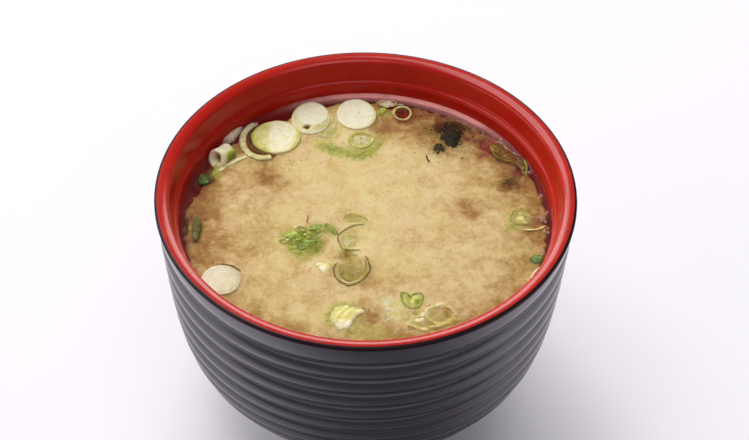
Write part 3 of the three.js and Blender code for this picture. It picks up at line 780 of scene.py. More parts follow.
def make_slices():
    """Thick white slices: green on one side, a stained hole, dots, or an edge that fades into the soup. The
    first three are painted darker on the lower half of their rims, and the fourth all over, as shade.
    """
    finish = scallion_finish("scallion_flesh", 0.3)
    # Painted shade: the fourth slice's copy of the flesh has 0.4 of a greyish pink laid over it, which
    # darkens it.
    painted_shade_flesh = scallion_finish("scallion_painted_shade", 0.3, 0.4, (176, 158, 146))

    def first(x, y, share, level):
        """Cream, greener at its left and right, with a stained front brim and painted shade on the lower half
        of its rim.
        """
        side = x + 0.6 * noise(np.stack([x, y], -1), 3, 5)
        right = 0.16 * smooth(4.6, 6.0, x - 0.15 * y) + 0.1 * smooth(0.84, 0.92, share)
        green = 0.05 + 0.2 * smooth(-1.2, -3.4, side) + right + 0.05 * bell(share - 0.74, 0.03)
        brim = 0.15 * smooth(0.93, 1.0, share) * smooth(3, -3, y)
        # Painted shade: the lower half of the rim is darker.
        return {"green": green, "dark": brim + 0.3 * smooth(0.5, 0.0, level)}

    def second(x, y, share, level):
        """Pale, with a stained hole exp(-r^2), and thin between a round core and the brim; a band of painted
        shade lies round the core's left side, and more on the lower half of its rim.
        """
        core = np.hypot(x - 0.3, y - 1.4)
        hole = bell(np.hypot((x + 1.1) / 1.1, (y + 4.0) / 0.8), 1.0)
        green = 0.15 * smooth(4.0, 5.0, core) + 0.04 * smooth(0.5, 4.5, x) * smooth(4, -2, y)
        brim = smooth(0.9, 0.95, share)
        ring = 0.2 * bell(core - 4.6, 0.35) * smooth(2.5, -1, x)
        gone = 0.3 * smooth(4.3, 4.8, core) * (1 - brim) * smooth(-4, 3, x)
        # Painted shade: the band round the core's left side and the lower half of the rim are darker.
        dark = hole + ring + 0.3 * smooth(0.5, 0.0, level)
        return {"green": green - 0.1 * brim, "dark": dark, "clear": gone}

    def third(x, y, share, level):
        """Nearly white, with three brown pores exp(-(r / w)^2), a greener right brim and painted shade on the
        lower half of its rim.
        """
        pores = ((-0.2, 3.1), (-3.1, 0.1), (0.9, 0.3))
        dots = sum(bell(np.hypot(x - at_x, y - at_y), 0.25) for at_x, at_y in pores)
        brim = 0.12 * smooth(0.88, 0.95, share) + 0.1 * smooth(2, 5, x) * smooth(0.7, 0.9, share)
        # Painted shade: the lower half of the rim is darker.
        return {"green": 0.01 + brim, "dark": 0.8 * dots + 0.35 * smooth(0.6, 0.0, level)}

    def fourth(x, y, share, level):
        """Sunk: its brim and its right side fade into the soup."""
        right = smooth(-2.5, 3.0, x - 0.3 * y)
        fade = 0.35 * right * smooth(0.3, 0.9, share) + 0.9 * smooth(0.82, 1, share)
        return {"green": 0.02 + 0.08 * right + 0.05 * share, "clear": fade}

    def pitted(x, y, share):
        """The relief of the layers less a pit exp(-(r / w)^2) where the hole is."""
        return layered(x, y, share) - 0.8 * bell(np.hypot((x + 0.9) / 1.0, (y + 4.1) / 0.7), 0.9)

    shapes = [
        ((14.2, 13.8, 0.04, 20), first, layered, finish, 0.0),
        ((11.2, 13.6, -0.06, 0), second, pitted, finish, 0.7),
        ((11.8, 13.0, -0.05, 6), third, layered, finish, 0.0),
        ((10.2, 10.4, 0.04, 30), fourth, layered, painted_shade_flesh, 0.9),
    ]
    for number, (egg, tones, relief, look, grow) in enumerate(shapes, 1):
        disc = slab(egg_outline(*egg, 96, 0.02, number), 2.2, 0.5, tones, relief, 40)
        node = f"scallion_slice_{number}"
        garnish(f"slice_{number}", [disc], look, node, sink=0.35, grow=grow)


def patchy(green, edge=None, dark=0.0, clear=0.0, fray=0.5, spots=()):
    """Tones of a scrap: mottling, an edge tone, an edge that frays by `fray`, and around each of the
    spots (x, y, reach, more green, more dark, more clear) a soft change."""

    def tones(x, y, share, level):
        """Mottling, edge, fray and spots exp(-(r / reach)^2), added up."""
        mottle = noise(np.stack([x, y], -1), 1.3, 5, 3)
        out = {"green": green + 0.14 * mottle, "dark": dark + 0.1 * mottle, "clear": clear + 0.2 * mottle}
        if edge is not None:
            out["green"] = out["green"] + (edge - green) * smooth(0.6, 0.9, share)
        out["clear"] = out["clear"] + 1.7 * fray * smooth(0.55, 1.0, share) + smooth(0.98, 0.7, level)
        for at_x, at_y, reach, *more in spots:
            near = bell(np.hypot(x - at_x, y - at_y) / reach, 1.0)
            for key, amount in zip(("green", "dark", "clear"), more):
                out[key] = out[key] + amount * near
        return out

    return tones


LINE_STEPS = 8


def line_through(points, closed=False):
    """A Catmull-Rom line: between b and c it is half of 2b + (c - a) t + (2a - 5b + 4c - d) t^2
    + (3b - a - 3c + d) t^3."""
    points = np.asarray(points, float)
    t = np.arange(LINE_STEPS)[:, None] / LINE_STEPS
    ends = [2 * points[0] - points[1], *points, 2 * points[-1] - points[-2]]
    if closed:
        ends = [points[-1], *points, points[0], points[1]]
    line = []
    for a, b, c, d in zip(ends, ends[1:], ends[2:], ends[3:]):
        square, cube = 2 * a - 5 * b + 4 * c - d, 3 * b - a - 3 * c + d
        line.append(0.5 * (2 * b + (c - a) * t + square * t**2 + cube * t**3))
    return np.concatenate(line if closed else [*line, points[-1:]])


def sheet(points, tones, top=0.1, thick=0.6, rough=0.12, rows=16):
    """A thin scrap whose outline goes through points; its top lies `top` above the soup, unevenly."""
    outline = line_through(points, closed=True)
    middle = outline.mean(0)
    outline = (outline - middle) * (1 + 0.15 * noise(outline, 1.0, 6, 3, 0.7))[:, None]

    def relief(x, y, share):
        """Noise, less (top + 0.25) share^3, which dips the edge into the soup."""
        return rough * noise(np.stack([x, y], -1) + middle, 1.3, 61, 3) - (top + 0.25) * share**3

    def placed(x, y, share, level):
        """The tones at a point's own place in the bowl."""
        return tones(x + middle[0], y + middle[1], share, level)

    return slab(outline, thick, 0.2, placed, relief, rows, (*middle, SOUP_LEVEL + top - thick))


def thread(points, width, green, dark=0.0, clear=0.0, closed=False, top=0.12, fade=0.0, thick=0.3):
    """A line of skin in the soup's surface; `fade` of its length at each end thins out."""
    path = line_through(points, closed)
    ends = 1.0 if closed else rounded_ends(len(path), 0.15, 0.35)
    wall = width * (1 + 0.25 * noise(path, 1.6, 3, 2)) * ends

    def tones(x, y, across, along, up):
        """Thins out towards both sides, both ends and below."""
        gone = 0.95 * smooth(fade, 0, np.minimum(along, 1 - along)) if fade else 0.0
        mottle = noise(np.stack([x, y], -1), 1.2, 15, 2)
        soft = 0.85 * smooth(0.25, 1.0, np.abs(2 * across - 1))
        under = smooth(0.3, -0.3, up)
        gone = clear + gone + soft + under + 0.15 * mottle
        return {"green": green + 0.08 * mottle, "dark": dark, "clear": gone}

    return band(path, wall, thick, tones, closed, 12, 0.8, SOUP_LEVEL + 0.5 * top - thick / 2)


def dot(x, y, across, green, dark=0.0, clear=0.0, top=0.1, turn=0.0):
    """A small rounded bit, 0.7 times as wide as it is long."""
    outline = egg_outline(across, across * 0.7, 0.1, turn, 18, 0.3, int(across * 10))
    thick, tones = 0.5, patchy(green, None, dark, clear, 0.45)
    return slab(outline, thick, 0.3, tones, None, 5, (x, y, SOUP_LEVEL + top - thick))


def arc_path(width, length, wall, start, end, steps):
    """The middle of a layer, (w/2 cos a, l/2 sin a) from one angle to another."""
    angle = np.radians(np.linspace(start, end, steps))
    return np.stack([np.cos(angle) * (width - wall) / 2, np.sin(angle) * (length - wall) / 2], -1)


def make_layers():
    """Loose outer layers: one curls round the first slice, and a pale one lies sunk by the second."""
    finish = scallion_finish("scallion_layer", 0.2)

    def curl(x, y, across, along, up):
        """Streaky and stained; darker at its inner side, next to the slice, and below, which is painted
        shade; and thin at its outer side and its start.
        """
        streak = noise(np.stack([across * 9, along * 3], -1), 1.0, 9, 2)
        green = 0.04 + 0.12 * smooth(0.1, 0.6, along) + 0.06 * bell(across - 0.35, 0.22) + 0.05 * streak
        # Painted shade: darker at the inner side and on the underside.
        inner = 0.5 * smooth(0.3, 0.0, across) + 0.25 * smooth(0.0, -0.8, up)
        gone = 0.5 * smooth(0.5, 1, across) + 0.6 * smooth(0.12, 0, along)
        return {"green": green, "dark": 0.3 + inner, "clear": gone}

    steps = 60
    path = arc_path(14.2, 16.9, 2.3, 110, 292, steps)
    wall = 2.3 * rounded_ends(steps, 0.03, 0.7)
    first = band(path, wall, 1.7, curl, False, lift=0.12 * np.sin(np.linspace(0, 9, steps)))
    garnish("layer_1", [first], finish, "scallion_layer_1", sink=0.3)
    region = [
        (-12.6, 40.0), (-11.2, 45.6), (-9.6, 46.4), (-8.2, 43.0), (-7.2, 38.6), (-7.6, 34.2),
        (-10.0, 30.8), (-14.6, 31.2), (-17.6, 33.0), (-16.0, 35.6),
    ]
    spots = [(-12.6, 31.4, 2.4, 0.2), (-15.5, 34.0, 1.5, -0.14, 0, -0.3), (-9.0, 33.0, 2.0, -0.05, 0, 0.4)]
    pale = sheet(region, patchy(0.18, None, 0.0, 0.35, 1.0, spots), top=-0.05, thick=0.2)
    garnish("layer_2", [pale], finish, "scallion_layer_2", fit=False)


def oval(x, y, width, length):
    """A wavering egg of 14 points round (x, y)."""
    return egg_outline(width, length, 0.05, 0.0, 14, 0.05, int(width * 7)) + (x, y)


# Skins of the two outlined rings in the middle and of the heart-shaped one.
D_LINE = [
    (1.0, -2.0), (-0.6, -1.7), (-1.9, -1.9), (-3.5, -2.4), (-5.0, -3.4), (-6.4, -4.6), (-7.3, -6.0),
    (-7.5, -7.6), (-7.0, -9.3), (-6.4, -10.9), (-5.8, -11.4), (-4.0, -11.6), (-1.8, -11.5), (0.9, -10.9),
]
DROP_LINE = [
    (-7.0, -15.9), (-8.1, -17.2), (-8.5, -19.0), (-8.2, -20.8), (-7.7, -22.1), (-6.6, -23.4), (-5.2, -24.5),
    (-4.2, -24.8), (-2.9, -24.3), (-1.0, -22.9), (0.3, -21.2), (1.2, -19.4), (1.3, -17.9), (0.9, -16.0),
    (0.4, -14.4), (-0.3, -13.4),
]
HEART_LINE = [
    (9.9, -27.4), (9.7, -28.8), (10.3, -31.0), (11.4, -32.4), (12.9, -32.9), (14.3, -32.3), (15.3, -30.4),
    (15.6, -28.4), (14.8, -27.4), (13.3, -27.6), (12.2, -28.5), (11.3, -27.5),
]


def make_rings():
    """Thin rings that lie in the surface: dark skins, and between them flesh that lets the soup show."""
    finish = scallion_finish("scallion_ring", 0.2)

    def ring(number, *patches):
        """Writes the patches of one ring as its piece."""
        garnish(f"ring_{number}", patches, finish, f"scallion_ring_{number}", fit=False)

    ring(
        1,
        thread(oval(-1.5, 32.2, 6.2, 6.1), 1.6, 0.34, 0.28, 0.14, closed=True, top=0.25),
        thread(oval(-1.5, 32.2, 7.1, 6.9), 0.4, 0.55, 0.2, 0.45, closed=True, top=0.15),
        sheet(oval(-1.5, 32.2, 5.2, 5.2), patchy(0.12, None, 0.12, 0.3, 0.2), top=0.02, thick=0.2),
    )
    ring(
        2,
        thread(oval(6.1, 47.5, 4.8, 2.9), 0.55, 0.16, 0.25, 0.15, closed=True, top=0.4),
        thread([(2.8, 46.8), (3.4, 48.4), (5.2, 49.2)], 0.7, 0.12, 0.3, 0.4, top=0.2, fade=0.2),
        thread([(7.1, 45.5), (9.5, 47.0), (11.0, 47.0)], 0.5, 0.2, 1.0, 0.1, top=0.3, fade=0.2),
        sheet(oval(6.1, 47.5, 5.4, 3.4), patchy(0.08, None, 0.3, 0.3, 0.4), top=0.2, thick=0.3),
        dot(7.6, 48.0, 0.9, 0.6, 0.9, 0.0, 0.4),
        dot(5.1, 47.6, 0.8, 0.0, 0.0, 0.1, 0.4),
    )
    scallops = [(10, 45.4), (11.4, 44.5), (11.4, 43.2), (10, 42.4), (9, 43), (8.8, 44.8)]
    ring(
        3,
        thread(oval(10.3, 43.5, 4.9, 5.4), 1.2, 0.24, 0.26, 0.2, closed=True, top=0.35, thick=1.2),
        # Painted shadow: a dark stroke round the ring's lower right side.
        thread(
            [(7.2, 42.0), (9.0, 40.4), (12.0, 40.4), (13.8, 42.4), (14.0, 45.0)],
            0.45, 0.7, 0.5, 0.2, fade=0.2,
        ),
        thread([(8.2, 46.3), (9.4, 47.1), (11.0, 46.6)], 0.8, 0.02, 0.3, 0.3, top=0.4, fade=0.2),
        *[dot(x, y, 1.2, 0.5, 1.0, 0.0, 0.2, 60 * i) for i, (x, y) in enumerate(scallops)],
    )
    ring(
        4,
        thread(
            [(43.6, 5.6), (41.2, 4.4), (39.9, 2.0), (39.8, -0.6), (41.2, -2.6), (43.6, -3.4)],
            0.9, 0.5, 0.15, 0.1, top=0.2, fade=0.3,
        ),
        thread(
            [(42.6, -3.0), (45.6, -3.2), (48.4, -2.5), (50.0, -0.8)], 0.8, 0.2, 0.05, 0.1, top=0.2, fade=0.2
        ),
        sheet(
            oval(43.2, 1.2, 6.4, 7.2), patchy(0.27, None, 0.05, 0.3, 0.5, [(46, 2, 2.5, -0.1, 0.1, 0.3)]),
            top=0.0, thick=0.4,
        ),
        dot(43.0, 0.9, 1.5, 0.1, 0.0, 0.2, 0.15),
    )
    arc = [(-6.1, -0.5), (-6.0, 0.6), (-5.4, 1.7), (-3.8, 2.0), (-1.6, 1.6), (0.1, 0.7), (0.7, -0.8)]
    inside = [
        (-6.9, -6.4), (-6.0, -4.9), (-3.4, -2.9), (-1.2, -2.4), (0.9, -2.6), (1.4, -6.4), (0.9, -10.6),
        (-2, -11.2), (-5.4, -10.8), (-6.6, -9),
    ]
    film = patchy(
        0.22, None, 0.0, 0.42, 0.2,
        [(0.5, -4, 3.0, 0, 0, 0.6), (0.5, -9, 3.5, 0, 0, 0.55), (-5, -9, 1.5, -0.08, 0, -0.2)],
    )
    shown = patchy(0.34, None, 0.05, 0.4, 0.35, [(-1, 0.3, 2.2, -0.05, 0.1, 0.3)])
    ring(
        5,
        thread(D_LINE, 0.65, 0.62, 0.52, 0.1, top=0.18, fade=0.1),
        thread([(-7.0, -4.2), (-5.2, -2.6), (-3.2, -1.5), (-1.0, -1.2)], 0.7, 0.16, 0.0, 0.3, fade=0.3),
        thread([(-6.3, -9.6), (-5.2, -10.8), (-3.0, -10.9), (-0.5, -10.8)], 0.5, 0.18, 0.0, 0.35, fade=0.3),
        thread([(0.9, -2.0), (1.1, -3.2), (1.0, -4.6)], 0.4, 0.6, 0.2, 0.4, fade=0.3),
        sheet(inside, film, top=-0.05, thick=0.3),
        thread(arc, 0.6, 0.52, 0.48, 0.1, top=0.16, fade=0.15),
        thread([(-6.0, 2.3), (-4.2, 2.9), (-2.2, 2.4)], 0.9, 0.2, 0.0, 0.35, fade=0.3),
        sheet(
            [(-5.9, 0), (-5.2, 1.4), (-3.6, 1.7), (-1.5, 1.2), (0.2, 0), (-1.2, -0.9), (-4.4, -0.8)],
            shown, top=-0.02, thick=0.3,
        ),
    )
    drop = [
        (-7.6, -19), (-7, -16.6), (-4, -14.6), (-1, -13.8), (0.6, -16), (0.8, -18.6), (-0.8, -21.6),
        (-4.2, -24), (-6.8, -22),
    ]
    orange = [
        (-2.6, -16.8, 3.0, -0.08, 0.2, 0.3), (-6.4, -20.2, 0.9, 0.25, 0.2, -0.2),
        (-6.8, -17, 0.8, 0.25, 0.1, -0.2),
    ]
    ring(
        6,
        thread(DROP_LINE, 0.75, 0.66, 0.6, 0.0, top=0.2, fade=0.06),
        thread(
            [(-0.3, -13.9), (0.0, -15.4), (0.2, -17.0), (0.0, -18.6), (-0.6, -20.0)],
            0.45, 0.6, 0.55, 0.1, top=0.16, fade=0.25,
        ),
        thread([(0.8, -14.6), (1.8, -16.4), (2.0, -18.4)], 0.6, 0.2, 0.0, 0.5, fade=0.3),
        thread(
            [(-7.0, -22.0), (-5.6, -23.4), (-4.2, -23.9), (-2.4, -23.2), (-0.6, -21.6)],
            0.7, 0.2, 0.0, 0.2, fade=0.25,
        ),
        thread(
            [(-6.6, -16.6), (-6.9, -18.8), (-6.4, -20.6), (-4.6, -22.6), (-2.6, -22.4), (-0.8, -20.6)],
            0.6, 0.6, 0.4, 0.15, fade=0.15,
        ),
        thread(
            [(-9.8, -15.7), (-7.6, -14.0), (-5.0, -13.0), (-2.0, -12.8)],
            1.5, 0.32, 0.5, 0.5, top=0.0, fade=0.3,
        ),
        sheet(drop, patchy(0.2, None, 0.45, 0.6, 0.2, orange), top=-0.02, thick=0.2),
        dot(-2.9, -13.1, 1.3, 0.26, 0.0, 0.15, 0.15),
    )
    wisps = [(18.6, -31.6), (16.6, -33.2), (15.5, -35.2), (14.0, -36.8)]
    bottom = [(14.4, -38.6), (16.6, -39.6), (19.4, -39.0), (21.8, -37.6), (23.6, -35.8), (24.0, -33.6)]
    ring(
        7,
        thread(oval(20.2, -35.0, 7.4, 6.6), 2.6, 0.24, 0.2, 0.42, closed=True, top=0.12),
        thread(wisps, 1.8, 0.12, 0.1, 0.25, top=0.2, fade=0.25),
        thread(bottom, 1.8, 0.22, 0.1, 0.35, top=0.16, fade=0.3),
        # Painted highlight: a cream stroke along the ring's top.
        thread([(18.4, -32.4), (19.8, -31.4), (21.6, -31.6)], 1.5, 0.05, 0.1, 0.3, top=0.2, fade=0.3),
        sheet(
            [(12.2, -37.6), (13.4, -36.2), (15.9, -36.0), (16.2, -37.4), (14.6, -38.5)],
            patchy(0.12, None, 0, 0.15, 0.6, [(12.9, -37.6, 1.0, 0.16)]),
        ),
        thread([(16.1, -32.6), (17.8, -31.3)], 0.5, 0.3, 0.7, 0.2, fade=0.3),
        dot(16.8, -35.8, 1.6, 0.4, 0.6, 0.4, 0.05, 80),
    )
    inner = patchy(
        0.28, None, 0.05, 0.15, 0.0,
        [(13.6, -30.2, 0.5, 0.35), (14.4, -30.9, 0.6, 0.35), (12.2, -29.2, 0.5, 0.3)],
    )
    garnish(
        "ring_8",
        [
            thread(HEART_LINE, 0.9, 0.62, 0.16, 0.08, closed=True, top=0.22),
            sheet(HEART_LINE, inner, top=0.05, thick=0.3),
        ],
        finish, "scallion_ring_8", fit=False,
    )


def make_strips():
    """Strips of leaf, each a thick thread: number, points, width, green, dark, clear and top."""
    finish = scallion_finish("scallion_leaf", 0.2)
    strips = [
        (
            1, [(-41.8, 18.2), (-40.0, 20.4), (-37.8, 22.4), (-35.0, 24.2), (-33.4, 25.0)], 1.9, 0.14, 0.05,
            0.0, 0.3,
        ),
        (2, [(-46.3, 1.2), (-46.2, -2.0), (-46.3, -5.6), (-46.6, -9.2)], 3.0, 0.85, 0.04, 0.0, 0.15),
        (3, [(-49.2, 0.2), (-49.1, -3.0), (-49.3, -7.0)], 1.3, 0.94, 0.5, 0.1, 0.15),
        (4, [(44.6, -22.6), (45.2, -20.4), (46.4, -18.4), (47.4, -17.2)], 0.9, 0.08, 0.25, 0.15, 0.4),
        (5, [(10.8, -38.0), (12.6, -39.2), (15.0, -40.2), (17.4, -40.4)], 1.6, 0.24, 0.0, 0.3, 0.1),
        (6, [(-11.4, -1.2), (-9.9, -2.8), (-8.5, -4.4), (-7.8, -6.4)], 1.9, 0.52, 0.28, 0.2, 0.05),
    ]
    for number, points, width, green, dark, clear, top in strips:
        strip = thread(points, width, green, dark, clear, top=top, fade=0.12, thick=0.9)
        garnish(f"strip_{number}", [strip], finish, f"scallion_strip_{number}", fit=False)


# Cut bits by number: how far the top stands out of the soup, tones and outline.
CHOPS = {
    1: (
        0.15,
        patchy(
            0.44, 0.5, 0.1, 0.1, 0.6,
            [(-19.3, -5.9, 1.1, 0.1), (-21.3, -6.8, 0.6, 0.3), (-22.6, -6.4, 0.9, -0.12)],
        ),
        [
            (-23.3, -6.0), (-21.6, -4.8), (-19.6, -4.1), (-18.2, -4.4), (-17.6, -5.6), (-18.3, -7.0),
            (-20.2, -7.7), (-22.6, -7.6),
        ],
    ),
    2: (
        0.18,
        # Painted highlight: the pale spot at (-12.4, -4.2).
        patchy(0.64, 0.7, 0.06, 0.0, 0.5, [(-12.4, -4.2, 0.7, -0.4), (-14.6, -4.6, 0.6, 0.15)]),
        [
            (-16.0, -4.3), (-14.9, -2.6), (-12.7, -1.3), (-11.4, -1.7), (-11.6, -3.2), (-12.6, -4.2),
            (-14.2, -4.9), (-15.4, -5.0),
        ],
    ),
    3: (
        0.15,
        patchy(
            0.62, 0.68, 0.08, 0.0, 0.55,
            [(-15.1, -10.6, 0.9, -0.2), (-17.6, -10.8, 1.2, 0.06), (-14.6, -8.8, 0.8, 0.12)],
        ),
        [
            (-18.8, -9.2), (-17.4, -7.6), (-15.2, -6.8), (-13.2, -7.0), (-12.3, -8.4), (-13.4, -9.7),
            (-15.4, -10.4), (-16.4, -12.0), (-18.2, -12.4), (-19.2, -11),
        ],
    ),
    4: (
        0.05,
        patchy(0.4, 0.44, 0, 0.45, 0.7),
        [
            (-21.3, -10.4), (-19.4, -10.0), (-18.2, -11.2), (-16.6, -12.4), (-16.2, -13.8), (-18.2, -14.0),
            (-20.2, -13.4), (-21.4, -12.2),
        ],
    ),
    5: (
        0.2,
        patchy(0.1, 0.14, 0, -0.1, 0.2, [(-10.2, -17.6, 0.8, 0.1)]),
        [
            (-14.6, -17.0), (-13.0, -16.0), (-10.8, -15.6), (-9.3, -16.1), (-9.1, -18.1), (-10.1, -20.4),
            (-11.6, -19.9), (-13.2, -18.1),
        ],
    ),
    6: (
        0.3,
        patchy(0.42, 0.5, 0, 0.1, 0.5, [(4.0, 43.2, 0.9, 0.25), (6.2, 43.8, 0.8, -0.3)]),
        [(3.6, 44.6), (3.9, 46.2), (5.6, 46.2), (6.2, 44.8), (5.2, 43.4), (4.4, 42.4), (3.4, 42.9)],
    ),
    7: (
        1.5,
        patchy(0.0, None, 0.0, -0.1, 0.35, [(-38.0, 33.2, 0.5, 0.1, 0.15)]),
        [
            (-41.0, 31.2), (-39.8, 33.6), (-37.6, 35.6), (-35.4, 37.4), (-35.7, 35.2), (-36.6, 33.0),
            (-37.8, 31.0), (-39.4, 30.2),
        ],
    ),
    8: (
        0.4,
        patchy(
            0.8, 1.0, 0.0, 0.2, 0.8,
            # Painted highlights: the small pale spots at (-46.4, 17.0) and (-44.4, 14.2).
            [(-45.2, 15.4, 1.0, -0.2), (-46.4, 17.0, 0.5, -0.8), (-44.4, 14.2, 0.4, -0.7)],
        ),
        [
            (-48.2, 15.2), (-47.2, 17.2), (-45.8, 18.6), (-43.8, 18.0), (-43.0, 16.0), (-42.6, 14.2),
            (-44.4, 12.4), (-46.8, 12.8),
        ],
    ),
    9: (
        0.35,
        patchy(0.66, 0.9, 0.0, 0.05, 0.6, [(47.2, -14.2, 1.1, -0.2)]),
        [
            (44.4, -14.2), (45.6, -12.6), (47.8, -12.6), (49.0, -14.0), (47.9, -16.0), (46.0, -16.6),
            (44.9, -15.8),
        ],
    ),
}


def make_chops():
    """Cut bits that float in the soup, green or white."""
    finish = scallion_finish("scallion_chop", 0.25)
    fresh = scallion_finish("scallion_fresh", 0.25, 0.6, (46, 104, 62))
    shard = scallion_finish("scallion_shard", 0.25, 0.32, (196, 120, 124))
    deep = scallion_finish("scallion_deep", 0.25, 0.6, (24, 62, 40))
    own = {7: shard, 8: deep, 9: fresh}
    for number, (top, tones, points) in CHOPS.items():
        bit = sheet(points, tones, top, 1.2, 0.2)
        look, node = own.get(number, finish), f"scallion_chop_{number}"
        garnish(f"chop_{number}", [bit], look, node, fit=False)


def make_scraps():
    """What is too small or too thin for a part of its own: skins, shreds, stains, a stroke of painted shade
    and sunk leaf.
    """
    finish = scallion_finish("scallion_scrap", 0.5)
    threads = [
        thread([(-18.5, -2.9), (-17.2, -4.8), (-16.3, -3.6)], 0.5, 0.66, 0.2, 0.05, closed=True, top=0.2),
        thread(
            [(-18.2, -5.0), (-17.0, -6.6), (-15.6, -6.0), (-14.8, -4.9)],
            0.45, 0.64, 0.2, 0.1, top=0.25, fade=0.15,
        ),
        thread(
            [(-23.3, -8.2), (-22.9, -9.2), (-21.2, -9.3), (-19.8, -8.5), (-21.4, -7.7)],
            0.45, 0.66, 0.35, 0.15, closed=True, top=0.15,
        ),
        thread(
            [(-15.8, -5.4), (-14.2, -6.5), (-12.6, -6.8), (-11.6, -5.6)],
            0.5, 0.66, 0.2, 0.2, top=0.2, fade=0.25,
        ),
        thread([(-19.0, -8.6), (-17.6, -8.0), (-16.2, -6.9)], 0.45, 0.78, 0.25, 0.1, top=0.3, fade=0.2),
        thread([(-12.0, -2.2), (-10.8, -3.4), (-9.2, -5.6)], 0.5, 0.6, 0.3, 0.3, top=0.15, fade=0.3),
        thread(
            [(-15.95, 2.1), (-15.9, 0.9), (-16.0, -0.4), (-16.2, -1.3)],
            0.35, 0.5, 0.9, 0.05, top=0.15, fade=0.2,
        ),
        dot(-16.2, -1.0, 0.7, 0.5, 0.8, 0.1, 0.15, 80),
        # Painted highlights: the cream dots at (-19.2, -3.4) and (-21.3, -8.1).
        dot(-19.2, -3.4, 1.1, 0.06, 0.0, 0.1, 0.35, 40),
        dot(-21.3, -8.1, 1.0, 0.08, 0.0, 0.1, 0.25),
        dot(-16.5, -6.1, 1.1, 0.12, 0.0, 0.1, 0.3),
        dot(-19.1, -8.7, 0.8, 0.7, 0.5, 0.1),
    ]
    shreds = [
        (-23.6, -6.4), (-20.6, -3.6), (-16.6, -3.2), (-12.6, -1.0), (-10.2, -2.6), (-10.8, -6.2),
        (-12.0, -9.6), (-15.4, -12.6), (-19.4, -14.0), (-21.8, -11.4), (-23.2, -9.2),
    ]
    gaps = [
        (-17.6, -7.2, 1.2, 0.1, 0.2, -0.2), (-12.0, -6.6, 1.8, -0.1, 0, 0.4),
        (-21.6, -9.6, 1.2, -0.1, 0, -0.2),
    ]
    threads.append(sheet(shreds, patchy(0.46, None, 0.06, 0.42, 0.6, gaps), top=0.0, thick=0.2, rows=26))
    garnish("skin_threads", threads, finish)
    # Brown bits: x, y, length, dark, clear and turn.
    bits = [
        (-13.2, -11.0, 1.5, 0.7, 0.3, 40), (-14.7, -12.6, 1.7, 0.5, 0.45, 70),
        (-12.5, -10.2, 1.0, 0.6, 0.4, 0),
        (-5.4, -13.1, 1.9, 0.7, 0.35, 60), (-9.1, -11.0, 1.1, 0.5, 0.5, 80), (1.3, -22.0, 1.1, 0.5, 0.5, 60),
        (1.6, -24.4, 1.3, 0.5, 0.5, 10), (13.4, -34.2, 2.6, 0.45, 0.35, 0), (1.2, -33.6, 1.7, 0.6, 0.4, 70),
        (12.2, -39.6, 2.6, 0.6, 0.35, 20), (16.9, -36.2, 1.4, 0.5, 0.3, 80), (-34.5, 31.0, 1.0, 0.6, 0.4, 80),
        (12.7, -42.0, 1.2, 0.3, 0.4, 0), (0.0, 32.4, 1.2, 0.5, 0.4, 0), (-6.6, 31.0, 1.6, 0.5, 0.5, 0),
    ]
    stains = [dot(x, y, across, 0.3, dark, clear, 0.02, turn) for x, y, across, dark, clear, turn in bits]
    # Painted shade: a dark brown stroke in the gap between the curled layer and the first slice.
    crescent = [(-33.6, 36.0), (-34.2, 33.0), (-33.2, 29.8), (-31.0, 27.4), (-27.6, 26.2), (-24.4, 26.2)]
    stains.append(thread(crescent, 2.2, 0.2, 0.85, 0.0, top=-0.25, fade=0.12))
    brim = [(-40.4, -17.9), (-38.2, -17.6), (-36.0, -18.1), (-34.2, -19.3), (-33.0, -20.9)]
    stains.append(thread(brim, 0.8, 0.76, 0.7, 0.0, top=0.4, fade=0.3))
    garnish("brown_bits", stains, finish)
    right = [(9.6, -33.6), (11.6, -33.2), (12.6, -35.0), (12.2, -37.4), (10.4, -37.6), (9.4, -35.6)]
    left = [(-2.6, -38.4), (-0.8, -38.2), (-0.2, -40.6), (-1.0, -42.6), (-2.8, -42.4), (-3.2, -40.4)]
    pale = [
        sheet(right, patchy(0.22, None, 0, 0.6, 0.7), top=-0.05, thick=0.2),
        sheet(left, patchy(0.3, None, 0, 0.7, 0.7), top=-0.05, thick=0.2),
        dot(0.3, 30.8, 0.9, 0.05, 0, 0.1, 0.2),
        dot(-0.3, 33.3, 0.7, 0.05, 0, 0.1, 0.2),
        dot(-2.6, 29.0, 1.1, 0.14, 0, 0.15, 0.1),
    ]
    garnish("pale_scraps", pale, finish)
    course = [
        (-15.4, 32.2), (-11.6, 30.4), (-8.2, 28.4), (-4.4, 26.6), (-0.6, 26.4), (2.2, 28.2), (4.0, 31.4),
        (4.4, 35.0),
    ]
    middle = line_through(course)
    wide = 4.6 * rounded_ends(len(middle), 0.25, 0.25) * (1 + 0.15 * noise(middle, 3.0, 8, 2))

    def sunk(x, y, across, along, up):
        """Thins out in blotches, and towards both sides and both ends."""
        ends = 0.7 * smooth(0.2, 0, np.minimum(along, 1 - along))
        soft = 1.1 * smooth(0.0, 0.85, np.abs(2 * across - 1)) + ends + smooth(0.3, -0.3, up)
        mottle = noise(np.stack([x, y], -1), 2.0, 77, 3)
        return {"green": 0.35 + 0.14 * mottle, "dark": 0.1 * along, "clear": 0.42 + soft + 0.5 * mottle}

    ribbon = band(middle, wide, 0.12, sunk, False, 24, 0.9, SOUP_LEVEL - 0.3)
    garnish("sunk_leaf", [ribbon], finish)


